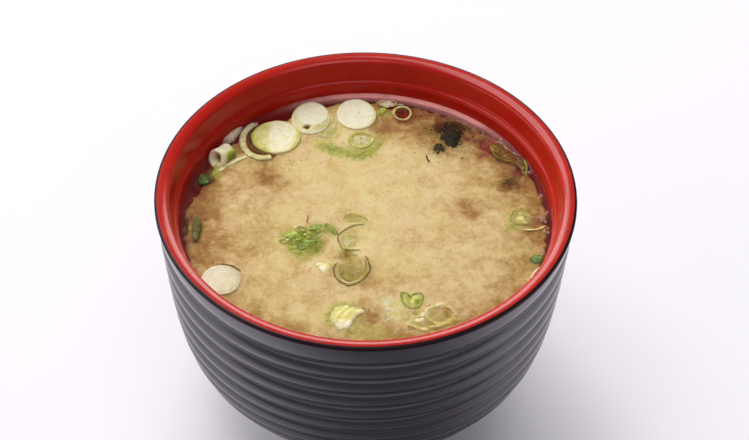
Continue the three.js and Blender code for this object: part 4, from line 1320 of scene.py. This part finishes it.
def make_wedge():
    """A block of layers cut across, whose top is a row of low ridges |cos| with the cuts between them."""
    finish = scallion_finish("scallion_wedge", 0.3)
    width, ridges, turn = 7.8, 6, -32
    corners = [
        (-4.4, -2.0), (-4.0, 0.6), (-3.0, 3.4), (-0.6, 4.6), (2.2, 3.6), (4.6, 2.2), (3.2, 0.2), (1.8, -2.4),
        (1.0, -5.0), (-1.6, -5.2), (-3.4, -3.8),
    ]
    outline = line_through(corners, closed=True)
    outline = outline * (1 + 0.05 * noise(outline, 1.3, 71, 2))[:, None]

    def ridge(x, y):
        """|cos(pi ridges u / width)|, where u leads across the block and wavers."""
        own = spun(np.stack([x, y], -1), -turn)
        across = own[..., 0] + 0.12 * own[..., 1] + 0.6 * noise(own, 3, 72, 3)
        return np.abs(np.cos(across / width * ridges * math.pi))

    def relief(x, y, share):
        """0.07 ridge^0.6 and noise, less 0.9 share^3 towards the edge."""
        rough = 0.15 * noise(np.stack([x, y], -1), 1.4, 73, 3)
        return 0.07 * ridge(x, y) ** 0.6 + rough - 0.9 * share**3

    def tones(x, y, share, level):
        """Olive between the ridges, paler at the right, paler at the front as a painted highlight, and torn
        towards the edge.
        """
        # Painted highlight: the front of the block is paler.
        low = smooth(-0.4, -2.8, y - 0.3 * x)
        green = 0.32 - 0.1 * smooth(0.3, 0.9, ridge(x, y)) - 0.27 * low - 0.16 * smooth(1.4, 3.4, x)
        torn = 0.5 * noise(np.stack([x, y], -1), 1.4, 74, 3)
        gone = 0.08 + smooth(0.4, 1.0, share) * (1 + torn) + 0.3 * torn + smooth(0.98, 0.7, level)
        return {"green": green, "clear": gone}

    block = slab(outline, 1.8, 0.3, tones, relief, 40)
    garnish("layer_wedge", [block], finish, "scallion_wedge", sink=0.55, grow=1.2)


def make_loop():
    """A ring pressed flat along a curve: wide at its open end and narrow from there on."""
    finish = scallion_finish("scallion_loop", 0.15)
    outer = [
        (35.0, 30.2), (36.4, 32.0), (38.4, 31.6), (39.4, 29.4), (41.4, 27.2), (43.6, 26.2), (45.4, 24.4),
        (45.8, 20.8), (45.2, 18.2), (44.2, 18.6), (44.0, 21.0), (42.8, 22.8), (40.2, 24.0), (37.4, 25.4),
        (36.2, 27.6),
    ]
    near = thread(
        [(35.0, 29.6), (35.9, 27.4), (37.0, 25.6), (39.6, 24.2), (42.4, 23.0), (43.8, 21.2), (44.2, 18.4)],
        0.8, 0.4, 0.66, 0.05, top=0.4, thick=1.0,
    )
    right = thread(
        [(44.6, 24.6), (45.2, 22.4), (45.1, 20.2), (44.8, 18.0)], 1.0, 0.5, 0.4, 0.1, top=0.3, thick=0.8
    )
    end = [(34.8, 30.6), (35.6, 31.4), (37.2, 30.6), (38.2, 28.6), (37.6, 26.6), (36.2, 26.8), (35.2, 28.6)]
    head = sheet(end, patchy(0.4, None, 0.7, 0.1, 0.4), 0.25)
    far = thread(
        [(36.2, 32.4), (38.4, 31.4), (39.8, 29.2), (42.2, 27.0), (44.4, 25.6)],
        0.8, 0.16, 0.5, 0.3, top=0.3, fade=0.15, thick=0.8,
    )
    body = sheet(outer, patchy(0.38, None, 0.82, 0.1, 0.2), 0.1, 0.5)
    creases = [
        thread(
            [(35.0, 29.0), (36.2, 26.6), (37.4, 24.6), (40.6, 23.0), (43.2, 21.8), (43.8, 20.0)],
            0.6, 0.6, 1.0, 0.05, top=0.02,
        ),
        thread([(37.4, 30.2), (38.6, 28.8), (39.4, 27.6)], 0.6, 0.6, 0.9, 0.05, top=0.3, fade=0.2),
        thread(
            [(45.6, 25.4), (46.2, 22.4), (46.2, 19.4), (45.4, 17.2)], 0.6, 0.6, 1.0, 0.3, top=0.02, fade=0.2
        ),
    ]
    parts = [body, head, near, right, far, *creases]
    garnish("pressed_loop", parts, finish, "scallion_loop", fit=False)


def make_tube():
    """A short hollow length that lies on its side: cream at its open end, olive below."""
    finish = scallion_finish("scallion_tube", 0.2)

    def tones(along, across, turn):
        """Olive in front beyond its open end, darker inside as painted shade, and stained on top and at its
        far end.
        """
        facing = smooth(0.0, 0.9, np.cos(turn) - 0.4 * np.sin(turn))
        inside = smooth(0.5, 0.1, across)
        green = 0.06 + 0.54 * facing * smooth(0.2, 0.5, along)
        # Painted shade: the inside of the tube is darker.
        stain_and_shade = 0.3 * smooth(0.85, 1, along) + 0.5 * inside * smooth(0.05, 0.3, along)
        stain_and_shade = stain_and_shade + 0.3 * smooth(0.1, 0.9, np.sin(turn)) * smooth(0.1, 0.3, along)
        return {"green": green, "dark": stain_and_shade}

    length = tube((-42.8, 21.9, 0.0), (-38.4, 26.9, 0.0), 2.2, 1.15, 2.4, tones)
    garnish("hollow_length", [length], finish, "scallion_tube")


# Flecks of wakame: x, y and length.
WAKAME_FLECKS = [
    (17.0, 37.2, 1.3), (18.4, 36.6, 1.4), (19.4, 36.5, 1.0), (20.3, 33.3, 0.9), (21.4, 33.4, 1.1),
    (26.6, 30.6, 1.1), (26.9, 31.8, 1.2), (21.4, 30.0, 1.3), (22.6, 29.0, 1.1), (30.3, 33.9, 1.2),
    (20.6, 47.0, 1.5), (27.2, 25.0, 1.4), (28.9, 23.3, 0.9), (30.6, 34.2, 0.8), (26.2, 33.2, 0.9),
    (17.4, 32.0, 0.9), (24.6, 29.4, 1.1), (40.4, 18.4, 0.8), (39.8, 16.2, 1.7), (38.6, 14.9, 1.3),
    (41.6, 16.6, 0.9), (42.2, 15.2, 1.3), (42.8, 14.6, 1.1), (40.4, 13.2, 1.1), (37.2, 12.0, 1.0),
    (47.4, 11.2, 1.2), (49.2, 9.6, 0.9), (43.2, 5.0, 0.8), (48.6, 1.6, 1.2), (50.8, 2.4, 1.0),
    (47.6, -6.0, 0.9), (45.6, -6.4, 0.7), (45.0, -14.4, 1.2), (38.4, -16.0, 0.9), (15.6, 42.2, 1.4),
    (17.4, 41.0, 1.2), (32.2, 8.2, 0.9), (37.2, 7.6, 1.0), (-46.8, 19.4, 1.1), (-47.6, 12.2, 1.2),
    (-44.6, 12.6, 1.0), (49.4, -12.4, 1.0), (44.2, 10.2, 1.1), (21.9, 42.1, 1.0),
]


def make_wakame():
    """Three sheets that wear away outwards: the torn leaf in two, and behind it a dark sheet of painted
    shade; and the flecks and shreds round it.
    """
    finish = wakame_finish()

    def ragged(middle, reach, least=0.0):
        """Tones of a sheet that is `least` clear at its middle and wears away outwards."""

        def tones(x, y, share, level):
            """Wears away as smooth(0.35 reach, 1.1 reach) of the distance, which noise varies."""
            wear = noise(np.stack([x, y], -1), 1.7, 41, 3, 0.7)
            away = np.hypot(x - middle[0], 0.8 * (y - middle[1])) + 0.5 * reach * wear
            return {"clear": least + smooth(reach * 0.35, reach * 1.1, away) + smooth(0.98, 0.7, level)}

        return tones

    core = [
        (21.4, 36.8), (23.6, 38.2), (26.4, 36.8), (26.8, 33.0), (25.8, 29.6), (22.6, 28.6), (20.8, 30.6),
        (20.8, 33.8),
    ]
    tail = [(18.4, 28.0), (19.6, 30.6), (21.8, 31.4), (23.2, 30.4), (22.4, 28.2), (20.8, 26.6), (19.0, 26.4)]
    # Painted shade: this third sheet is a dark ragged sheet laid behind the leaf.
    shade = [(17.6, 36.2), (19.6, 39.4), (23.6, 40.6), (28.2, 38.4), (31.0, 36.0), (27.4, 35.2), (22.4, 35.6)]
    leaf = [
        sheet(core, ragged((23.8, 33.4), 3.9), 0.25, 0.6, 0.3, 22),
        sheet(tail, ragged((20.8, 29.0), 3.4, 0.45), 0.05, 0.5, 0.2, 18),
        sheet(shade, ragged((24.0, 37.6), 7.0, 0.34), -0.1, 0.4, 0.1, 18),
    ]
    garnish("torn_leaf", leaf, finish, "wakame_leaf", fit=False)
    line = thread([(17.2, 26.4), (17.2, 25.0), (18.0, 23.0)], 0.7, 0, clear=0.1, top=0.05, fade=0.15)
    far = thread([(24.4, 40.8), (27.6, 38.8), (30.8, 36.2)], 0.6, 0, clear=0.0, top=0.1, fade=0.15)
    chance = np.random.default_rng(8)
    crumbs = [(*place, 0.6) for place in chance.normal((24, 31.5), (4.2, 3.6), (46, 2))]
    crumbs += [(*place, 0.5) for place in chance.normal((41, 16), (2.0, 2.2), (22, 2))]
    places = [(x, y, 0.8 * size) for x, y, size in WAKAME_FLECKS] + crumbs
    flecks = [dot(x, y, size, 0, clear=0.25, top=0.04, turn=37 * i) for i, (x, y, size) in enumerate(places)]
    garnish("wakame_flecks", [line, far, *flecks], finish)


def make_garnish():
    """All that floats in the soup. It comes before the soup, which climbs it."""
    make_slices()
    make_layers()
    make_rings()
    make_strips()
    make_chops()
    make_wedge()
    make_loop()
    make_tube()
    make_scraps()
    make_wakame()


# ---------------------------------------------------------------------------------- soup
# Thinner, browner pools: x, y, reach and how much browner. The four from (-34.2, 32.3) to (-28.0, 25.3) are
# painted shade in the gap between the curled layer and the first slice.
BROWN_POOLS = [
    (-29, 18, 5.0, 0.26), (-24, 15, 3.5, 0.16), (29, 5, 4.6, 0.3), (0.8, -35, 4.5, 0.2), (13, 38, 8.0, 0.2),
    (4, 36, 4.5, 0.16), (33, 32, 6.0, 0.15), (8, -43, 7.0, 0.16), (39, 12, 6.0, 0.14), (-5, 2, 5.0, 0.08),
    (-3, -19, 4.2, 0.26), (6, -24, 4.0, 0.14), (20, -35, 3.6, 0.2), (-34.2, 32.3, 1.9, 0.6),
    (-33.6, 28.9, 1.9, 0.6), (-31.0, 26.4, 1.8, 0.45), (-28.0, 25.3, 1.8, 0.35), (10.4, 43.3, 2.2, 0.7),
    (6.1, 47.4, 2.0, 0.7), (38, 28.5, 3.0, 0.28), (43.4, 20.5, 2.2, 0.2), (41, 17, 3.0, 0.14),
    (-17, 36.6, 1.6, 0.4), (-42, -6, 13.0, 0.13), (21, 37, 5.0, 0.2), (20, 29, 3.6, 0.14), (28, 21, 9.0, 0.1),
    (47.5, 0.5, 2.4, 0.3), (45, -3.5, 2.0, 0.16), (-45.6, 15.6, 2.6, 0.3), (-5.2, -13.0, 1.8, 0.3),
    (-13.9, -11.8, 1.9, 0.3), (-10.6, -8.0, 1.6, 0.16), (1.6, -23.6, 1.8, 0.18),
]
# Leaf under the surface: x, y, reach, tone and strength.
SUNK_LEAF = [
    (-14.6, 32.4, 2.4, 0.34, 0.6), (-12.2, 30.4, 3.0, 0.44, 0.85), (-9.6, 28.8, 2.8, 0.5, 0.85),
    (-7.0, 27.6, 3.0, 0.42, 0.8), (-4.2, 26.6, 3.0, 0.44, 0.85), (-1.2, 26.4, 2.8, 0.48, 0.85),
    (1.4, 27.6, 2.8, 0.46, 0.8), (3.4, 30.4, 2.6, 0.42, 0.7), (4.4, 33.8, 2.2, 0.4, 0.6),
    (-10.4, 33.6, 3.0, 0.3, 0.6), (-9.0, 40.0, 3.6, 0.24, 0.6), (-8.4, 36.0, 3.2, 0.26, 0.6),
    (-1.5, 32.2, 4.4, 0.34, 0.5), (-21.0, -6.2, 3.6, 0.4, 0.7), (-18.6, -10.6, 4.0, 0.44, 0.8),
    (-14.6, -9.4, 4.2, 0.54, 0.9), (-13.6, -3.6, 3.4, 0.52, 0.85), (-16.8, -5.6, 3.2, 0.46, 0.8),
    (-9.6, -3.6, 2.6, 0.5, 0.7), (-17.2, -13.2, 3.2, 0.44, 0.75), (-3.8, -7.4, 4.8, 0.22, 0.5),
    (-2.6, 0.4, 3.2, 0.34, 0.5), (-3.6, -19.4, 5.0, 0.4, 0.5), (-5.2, -12.8, 3.2, 0.44, 0.5),
    (-8.2, -36.0, 4.8, 0.36, 0.6), (-4.6, -33.6, 4.4, 0.4, 0.6), (-2.6, -39.6, 4.2, 0.36, 0.6),
    (3.0, -41.0, 4.4, 0.36, 0.45), (6.0, -29.6, 2.4, 0.12, 0.8), (7.2, -32.4, 2.6, 0.12, 0.85),
    (8.0, -35.2, 2.8, 0.14, 0.8), (9.4, -30.8, 1.9, 0.14, 0.7), (5.4, -36.4, 2.2, 0.16, 0.6),
    (11.4, -35.6, 3.2, 0.22, 0.6), (12.6, -30.0, 2.8, 0.34, 0.6), (15.6, -37.8, 3.8, 0.26, 0.55),
    (20.6, -37.4, 3.4, 0.28, 0.5), (18.0, -33.6, 2.4, 0.2, 0.4), (43.0, 1.2, 4.0, 0.28, 0.5),
    (41.0, -2.0, 2.4, 0.4, 0.5), (-42.6, 18.6, 2.4, 0.36, 0.8), (-45.2, 15.6, 3.6, 0.97, 0.85),
    (-43.2, 19.6, 2.4, 0.4, 0.6), (5.0, 44.0, 2.6, 0.42, 0.6), (23.8, 33.2, 3.8, 0.93, 0.8),
    (20.6, 29.2, 3.2, 0.9, 0.6), (24.4, 37.6, 4.6, 0.9, 0.65), (19.0, 37.0, 3.4, 0.88, 0.45),
    (40.2, 15.6, 3.0, 0.9, 0.5), (41.6, 18.0, 2.2, 0.9, 0.4), (26.8, 29.6, 2.6, 0.88, 0.35),
    (47.0, -14.4, 3.0, 0.66, 0.7), (-46.4, -4.0, 3.2, 0.8, 0.4),
]
# The soup climbs the wall by the rise and falls off over the width, and round the garnish over the fall.
MENISCUS_RISE = 0.75
MENISCUS_WIDTH = 1.4
CLIMB_FALL = 0.7
CLIMB_REACH = 2.4
CLIMB_POINTS = 400
# How far the soup reaches into the lacquer at its edge and at the bowl's floor, so that no gap shows.
SIDE_BITE = 0.12
FLOOR_BITE = 0.05
# The miso's own side starts this far down, and the broth over it goes down in two steps.
CLOUD_SIDE = 5.0
BROTH_SIDE = 2
BROTH_FLOOR = 9
# Points round the soup, from its middle out, and down the inner wall.
SOUP_PLACES = 520
SOUP_ROWS = 150
SOUP_WELL_STEPS = 22


def shore_radius(direction):
    """Where the miso ends: close to the wall, but further in at the back, by bells of the direction."""
    degrees = np.degrees(direction)
    circle = np.stack([np.cos(direction), np.sin(direction)], -1)
    clear = 0.6 + 3.0 * bell(degrees - 122, 16) + 1.6 * bell(degrees - 90, 14) + 2.2 * bell(degrees - 158, 14)
    return SOUP_RADIUS - clear * (1 + 0.3 * noise(circle, 0.12, 5, 3))


def cloud_tone(place):
    """How thin and brown the miso is, from 0 on a thick curd to 1 where only red lacquer shows: soft
    puffs |noise|^0.7, brown pools exp(-(distance / reach)^2) that break them up, and thinner and more
    broken miso towards the shore."""
    x, y = place[..., 0], place[..., 1]
    radius, direction = np.hypot(x, y), np.arctan2(y, x)
    degrees = np.degrees(direction)
    ragged = noise(place, 1.6, 23, 3, 0.6)
    warped = place + 1.5 * np.stack([noise(place, 5.0, 51, 2), noise(place, 5.0, 52, 2)], -1)
    puff = np.abs(noise(warped, 6.0, 3, 2)) ** 0.7 + 0.5 * np.abs(noise(warped, 2.8, 7, 2)) ** 0.8
    tone = 0.45 + 0.05 * noise(place, 17.0, 8, 3) - 0.14 * puff - 0.13 * bell(np.hypot(x - 3, y - 6), 25)
    for at_x, at_y, reach, more in BROWN_POOLS:
        away = np.hypot(x - at_x, y - at_y) / reach + 0.35 * noise(place, 3.0, 21, 3)
        tone = tone + more * bell(away, 1.0) * (1 + 0.5 * ragged)
    thin = 0.18 + 0.16 * bell(degrees - 55, 45) + 0.14 * bell(degrees - 165, 25)
    tone = tone + thin * smooth(36, 50, radius) * (1 + 0.4 * ragged)
    beyond = radius - shore_radius(direction) + 0.7 * ragged
    return np.clip(tone + 0.6 * smooth(-1.4, 0.8, beyond), 0, 1)


def leaf_tint(place):
    """Leaf that lies in the miso: how much it colours the miso, which is 1 - the product of (1 - share),
    and its mean tone from cream to dark green."""
    frayed = 0.35 * noise(place, 1.7, 33, 3, 0.7)
    kept, tone, weight = 1.0, 0.0, 1e-6
    for x, y, reach, green, strength in SUNK_LEAF:
        away = np.hypot(place[..., 0] - x, place[..., 1] - y) / reach + frayed
        share = strength * smooth(1.2, 0.3, away)
        kept = kept * (1 - share)
        tone, weight = tone + share * green, weight + share
    return 1 - kept, tone / weight


def cloud_depth(tone):
    """Depth of the miso under the broth's surface: 0.12 + 1.3 tone^1.3, and 1.6 more where it ends."""
    return 0.12 + 1.3 * tone**1.3 + 1.6 * smooth(0.75, 1.0, tone)


def waterline_rise(place):
    """Soup that climbs the garnish: height e^(-distance / fall) round each piece, the highest one wins,
    and how near the garnish is, as e^(-distance / fall)."""
    rise, near_by = np.zeros(place.shape[:2]), np.zeros(place.shape[:2])
    for line, height in waterlines:
        low, high = line.min(0) - CLIMB_REACH, line.max(0) + CLIMB_REACH
        near = np.nonzero(((place > low) & (place < high)).all(-1))
        if len(near[0]):
            away = place[near][:, None] - line[:: max(1, len(line) // CLIMB_POINTS)]
            closeness = np.exp(-np.sqrt((away**2).sum(-1).min(1)) / CLIMB_FALL)
            rise[near] = np.maximum(rise[near], height * closeness)
            near_by[near] = np.maximum(near_by[near], closeness)
    return rise, near_by


def soup_grid():
    """Rings of points (r cos a, r sin a) over the soup, and the radius and the angle of each."""
    angle = np.arange(SOUP_PLACES) / SOUP_PLACES * 2 * math.pi
    share = np.linspace(0, 1, SOUP_ROWS + 1)[1:]
    radius = (SOUP_RADIUS + SIDE_BITE) * share
    return np.stack([radius[:, None] * np.cos(angle), radius[:, None] * np.sin(angle)], -1), radius, angle


def make_cloud(place, climb, near_by):
    """The miso: its top lies cloud_depth under the surface, and its side follows the inner wall."""
    tone = cloud_tone(place)
    leaf, leaf_tone = leaf_tint(place)
    depth = cloud_depth(tone) * (1 - 0.75 * near_by) - climb * smooth(0.8, 0.6, tone)
    top = np.concatenate([place, (SOUP_LEVEL - depth)[..., None]], -1)
    well = well_profile(SOUP_WELL_STEPS)[1:]
    well = well[well[:, 1] > SOUP_DEPTH + CLOUD_SIDE][:-1]
    side = turned(well[:, 0] + SIDE_BITE, HEIGHT - well[:, 1] - FLOOR_BITE, SOUP_PLACES)
    cloud = grid(
        np.concatenate([top, side]),
        (0, 0, SOUP_LEVEL - cloud_depth(cloud_tone(np.zeros(2)))),
        (0, 0, HEIGHT - FLOOR_DEPTH - FLOOR_BITE),
        tone=np.concatenate([tone, np.ones(side.shape[:2])]),
        leaf=np.concatenate([leaf, np.zeros(side.shape[:2])]),
        leaf_tone=np.concatenate([leaf_tone, np.zeros(side.shape[:2])]),
    )
    piece("miso_cloud", [cloud], [miso_cloud_finish()], ["soup"])


def make_broth(place, climb, radius, angle):
    """The clear broth: its surface climbs the wall by rise e^(-distance / width), and near the back wall a
    painted reflection of the wall's red lies on it, as a diffuse pink layer."""
    wall = SOUP_RADIUS + SIDE_BITE
    x, y = place[..., 0], place[..., 1]
    wetting = 0.45 + 0.55 * bell(np.degrees(np.arctan2(y, x)) - 100, 55)
    rise = MENISCUS_RISE * wetting * np.exp(-(wall - radius) / MENISCUS_WIDTH)[:, None]
    rise = rise + 0.015 * noise(place, 14.0, 40) + 0.5 * climb
    wider = 0.25 * smooth(wall - 0.6, wall, radius)[:, None]
    surface = np.stack([x * (1 + wider / wall), y * (1 + wider / wall), SOUP_LEVEL + rise], -1)
    floor = SOUP_LEVEL - BROTH_FLOOR
    under = turned([wall, wall, wall * 0.6], [SOUP_LEVEL - BROTH_SIDE, floor, floor], SOUP_PLACES)
    degrees = np.degrees(angle)
    degrees = np.where(degrees > 180, degrees - 360, degrees)
    # Painted reflection: strongest at the back, in a band just inside the wall.
    strength = 0.04 + 0.94 * smooth(30, 64, degrees) * smooth(126, 94, degrees)
    inwards = 0.4 * smooth(47.4, 49.6, radius) + 0.6 * smooth(49.5, 50.1, radius)
    haze = np.clip(strength * inwards[:, None] * (1 + 0.3 * noise(place, 3.0, 44, 2)), 0, 1)
    broth = grid(
        np.concatenate([surface, under]),
        (0, 0, SOUP_LEVEL),
        (0, 0, floor),
        haze=np.concatenate([haze, 0 * under[..., 0]]),
    )
    piece("clear_broth", [broth], [broth_finish()], ["soup"])


def make_soup():
    """The miso cloud and the clear broth over it, on one grid of places."""
    place, radius, angle = soup_grid()
    climb, near_by = waterline_rise(place)
    make_cloud(place, climb, near_by)
    make_broth(place, climb, radius, angle)


# ---------------------------------------------------------------------------------- grains and foam
GRAIN_COUNT = 2000
GRAIN_SIZE = (0.16, 0.38)
GRAIN_REACH = 50.2
PALE_GRAINS = 0.3
BUBBLE_SIZE = (0.3, 0.8)
# Foam: azimuth in degrees, radius, spread and number of bubbles.
FOAM = [
    (2, 49.4, 1.2, 16), (-4, 49.6, 0.8, 8), (24, 49.8, 0.9, 7), (12, 50.0, 0.6, 5), (-14, 49.8, 0.7, 5),
    (40, 50.0, 0.7, 5), (70, 49.8, 0.8, 3),
]


def scattered(places, sizes, shape, faces, heights):
    """Copies of a small shape, as points and triangles, at many places and sizes in one patch."""
    points = shape[None] * sizes[:, None, None]
    points[..., :2] += places[:, None]
    points[..., 2] += heights[:, None]
    tris = (faces[None] + len(shape) * np.arange(len(places))[:, None, None]).reshape(-1, 3)
    return {"points": points.reshape(-1, 3), "quads": np.zeros((0, 4), int), "tris": tris, "numbers": {}}


def make_grains():
    """Grains of miso on top of the cloud, pale or olive brown: squashed octahedra."""
    chance = np.random.default_rng(12)
    radius = GRAIN_REACH * np.sqrt(chance.uniform(0, 1, GRAIN_COUNT))
    turn = chance.uniform(0, 2 * math.pi, GRAIN_COUNT)
    places = np.stack([radius * np.cos(turn), radius * np.sin(turn)], -1)
    size = chance.uniform(*GRAIN_SIZE, GRAIN_COUNT) * (1 + 0.5 * noise(places, 9.0, 90, 2))
    heights = SOUP_LEVEL - cloud_depth(cloud_tone(places)) + 0.1 * size
    shape = np.array([(1, 0, 0), (0, 0.8, 0), (-1, 0, 0), (0, -0.8, 0), (0, 0, 0.5), (0, 0, -0.5)]) / 2
    faces = np.array([(0, 1, 4), (1, 2, 4), (2, 3, 4), (3, 0, 4), (1, 0, 5), (2, 1, 5), (3, 2, 5), (0, 3, 5)])
    patch = scattered(places, size, shape, faces, heights)
    pale = chance.uniform(0, 1, GRAIN_COUNT) < PALE_GRAINS
    shade = np.where(pale, 0.0, chance.uniform(0.5, 1, GRAIN_COUNT))
    patch["numbers"] = {"shade": np.repeat(shade, len(shape))}
    piece("miso_grains", [patch], [grain_finish()])


def make_bubbles():
    """Foam by the wall: small balls that stand half out of the broth."""
    chance = np.random.default_rng(5)
    places, sizes = [], []
    for azimuth, radius, spread, count in FOAM:
        azimuth = math.radians(azimuth)
        middle = radius * np.array([math.cos(azimuth), math.sin(azimuth)])
        places.append(middle + chance.normal(0, spread, (count, 2)))
        sizes.append(chance.uniform(*BUBBLE_SIZE, count))
    places, sizes = np.concatenate(places), np.concatenate(sizes)
    inside = np.hypot(*places.T) < SOUP_RADIUS - 0.5
    places, sizes = places[inside], sizes[inside]
    rings = turned([0.3, 0.48, 0.48, 0.3], [0.4, 0.15, -0.15, -0.4], 10)
    ball = grid(rings, (0, 0, 0.5), (0, 0, -0.5))
    faces = np.concatenate([ball["quads"][:, [0, 1, 2]], ball["quads"][:, [0, 2, 3]], ball["tris"]])
    foam = scattered(places, sizes, ball["points"], faces, SOUP_LEVEL + 0.15 * sizes)
    piece("foam_bubbles", [foam], [foam_finish()])


# ---------------------------------------------------------------------------------- studio
# A soft dark oval of painted shadow on the floor in front of the bowl, which the ribs mirror: half width,
# half depth and middle, in metres.
SHADE_OVAL_WIDTH = 0.4
SHADE_OVAL_DEPTH = 0.15
SHADE_OVAL_MIDDLE = -0.2
FLOOR_HALF = 4.0
# The middle of the painted shade round the bowl's foot, where the floor glows less.
PAINTED_SHADE_MIDDLE = (13 * MM, -50 * MM, 0)


def make_floor():
    """A pale floor that glows a little, which is painted light, but less near the bowl's foot and inside the
    oval, where sqrt((x / width)^2 + ((y - middle) / depth)^2) is below 1: the weaker glow paints shade round
    the foot, and inside the oval the colour is painted dark as well, as a shadow in front of the bowl."""
    f = Finish("studio_floor")
    pale = f.ramp(f.grain(260, 2), (0.35, (0.46, 0.445, 0.475)), (0.65, (0.48, 0.465, 0.495)))
    away = f.add("VectorMath", {0: f.place, 1: PAINTED_SHADE_MIDDLE}, operation="DISTANCE").outputs["Value"]
    scale, shift = (1 / SHADE_OVAL_WIDTH, 1 / SHADE_OVAL_DEPTH, 0), (0, -SHADE_OVAL_MIDDLE / SHADE_OVAL_DEPTH, 0)
    scaled = f.add("VectorMath", {0: f.place, 1: scale, 2: shift}, operation="MULTIPLY_ADD")
    from_oval = f.add("VectorMath", {0: scaled.outputs[0]}, operation="LENGTH").outputs["Value"]
    # Painted shadow: inside the oval the floor's glow drops and its colour goes dark.
    outside_painted_shade = f.level(from_oval, 0.55, 1, 0.2, 1)
    # Painted light: the floor glows, and less towards the bowl's foot, which paints shade round it.
    glow = f.sum(f.level(away, 10 * MM, 80 * MM, 0.06, 0.47), outside_painted_shade, "MULTIPLY")
    tint = f.mix(outside_painted_shade, (0.12, 0.115, 0.125), pale)
    shader = f.add(
        "BsdfPrincipled",
        {
            "Base Color": tint,
            "Roughness": 0.8,
            "Specular IOR Level": 0.2,
            "Emission Color": (1, 0.965, 1.01, 1),
            "Emission Strength": glow,
        },
    )
    material = f.surface(shader)
    mesh = bpy.data.meshes.new("studio_floor")
    corners = [(x * FLOOR_HALF, y * FLOOR_HALF, 0) for x, y in ((-1, -1), (1, -1), (1, 1), (-1, 1))]
    mesh.from_pydata(corners, [], [(0, 1, 2, 3)])
    mesh.materials.append(material)
    floor = bpy.data.objects.new("studio_floor", mesh)
    bpy.context.scene.collection.objects.link(floor)


# Brightness of the room: all round, low down behind, and low down in front.
ROOM_LIGHT = 0.16
HORIZON_LIGHT = 0.5
FRONT_LIGHT = 0.36
# Softboxes: azimuth from +X and height in degrees, distance and size in metres, brightness against white.
STUDIO_LIGHTS = [
    ("key", 132, 57, 1.3, (0.85, 0.85), 4.6),
    ("top_card", -60, 76, 1.2, (0.6, 0.6), 2.2),
    ("back_card", 92, 28, 1.6, (1.7, 0.55), 5.5),
    ("left_card", 187, 8, 1.4, (1.4, 0.34), 3.2),
]


def add_softbox(name, azimuth, rise, distance, size, brightness):
    """A rectangular light that faces the bowl. Its power in watts is pi times brightness times area."""
    azimuth, rise = math.radians(azimuth), math.radians(rise)
    flat = math.cos(rise)
    toward = Vector((flat * math.cos(azimuth), flat * math.sin(azimuth), math.sin(rise)))
    light = bpy.data.lights.new(name, "AREA")
    light.shape = "RECTANGLE"
    light.size, light.size_y = size
    light.energy = math.pi * brightness * size[0] * size[1]
    thing = bpy.data.objects.new(name, light)
    thing.location = toward * distance
    thing.rotation_mode = "QUATERNION"
    thing.rotation_quaternion = (-toward).to_track_quat("-Z", "Y")
    thing.visible_camera = False
    bpy.context.scene.collection.objects.link(thing)


def light_studio():
    """A softbox behind on the left, a card overhead, low white cards behind and on the left, and a dim
    room that is brighter low down. The camera sees a plain pale backdrop in its place."""
    scene = bpy.context.scene
    scene.view_settings.view_transform = "Standard"
    scene.cycles.transparent_max_bounces = 32
    world = bpy.data.worlds.new("studio")
    scene.world = world
    world.use_nodes = True
    sky = Nodes(world.node_tree)
    way = sky.add("SeparateXYZ", {0: sky.add("TexCoord").outputs["Generated"]}).outputs
    low_down = sky.level(way["Z"], 0.5, 0.02, 0, HORIZON_LIGHT)
    behind = sky.level(sky.sum(way["Y"], way["X"], "SUBTRACT"), -0.9, 0.7, 0.1, 1.0)
    in_front = sky.level(way["Y"], 0.2, -0.6, 0, FRONT_LIGHT)
    strip = sky.level(way["Z"], 0.3, 0.05, 0, 1)
    glow = sky.product(low_down, behind, sky.product(in_front, strip, ROOM_LIGHT))
    room = sky.tree.nodes["Background"]
    sky.join(room, {"Color": (1.0, 0.955, 1.02, 1), "Strength": glow})
    backdrop = sky.add("Background", {"Color": (0.95, 0.93, 0.97, 1)})
    seen = sky.add("LightPath").outputs["Is Camera Ray"]
    sky.join(sky.tree.nodes["World Output"], {"Surface": sky.blend(seen, room, backdrop).outputs[0]})
    for name, azimuth, rise, distance, size, brightness in STUDIO_LIGHTS:
        add_softbox(name, azimuth, rise, distance, size, brightness)


def turned_by(angle, first, second):
    """Two axes turned in their plane: first cos a + second sin a, and second cos a - first sin a."""
    cos, sin = math.cos(angle), math.sin(angle)
    return cos * first + sin * second, cos * second - sin * first


def aim_camera():
    """Looks at the rim's centre, and is then turned by pitch, yaw and roll, in that order."""
    degrees = (CAMERA_ELEVATION, CAMERA_PITCH, CAMERA_YAW, CAMERA_ROLL)
    rise, pitch, yaw, roll = (math.radians(angle) for angle in degrees)
    back = np.array([0, -math.cos(rise), math.sin(rise)])
    ahead, right = -back, np.array([1.0, 0, 0])
    up = np.cross(right, ahead)
    up, ahead = turned_by(-pitch, up, ahead)
    right, ahead = turned_by(-yaw, right, ahead)
    right, up = turned_by(roll, right, up)
    camera = bpy.data.objects.new("camera", bpy.data.cameras.new("camera"))
    camera.data.sensor_width = SENSOR_WIDTH
    camera.data.lens = LENS
    camera.data.clip_start = 0.01
    matrix = np.eye(4)
    matrix[:3, :3] = np.stack([right, up, -ahead], -1)
    matrix[:3, 3] = (np.array([0, 0, HEIGHT]) + CAMERA_DISTANCE * back) * MM
    camera.matrix_world = Matrix(matrix.tolist())
    bpy.context.scene.collection.objects.link(camera)
    bpy.context.scene.camera = camera


aim_camera()
light_studio()
make_floor()
make_bowl()
make_garnish()
make_soup()
make_grains()
make_bubbles()
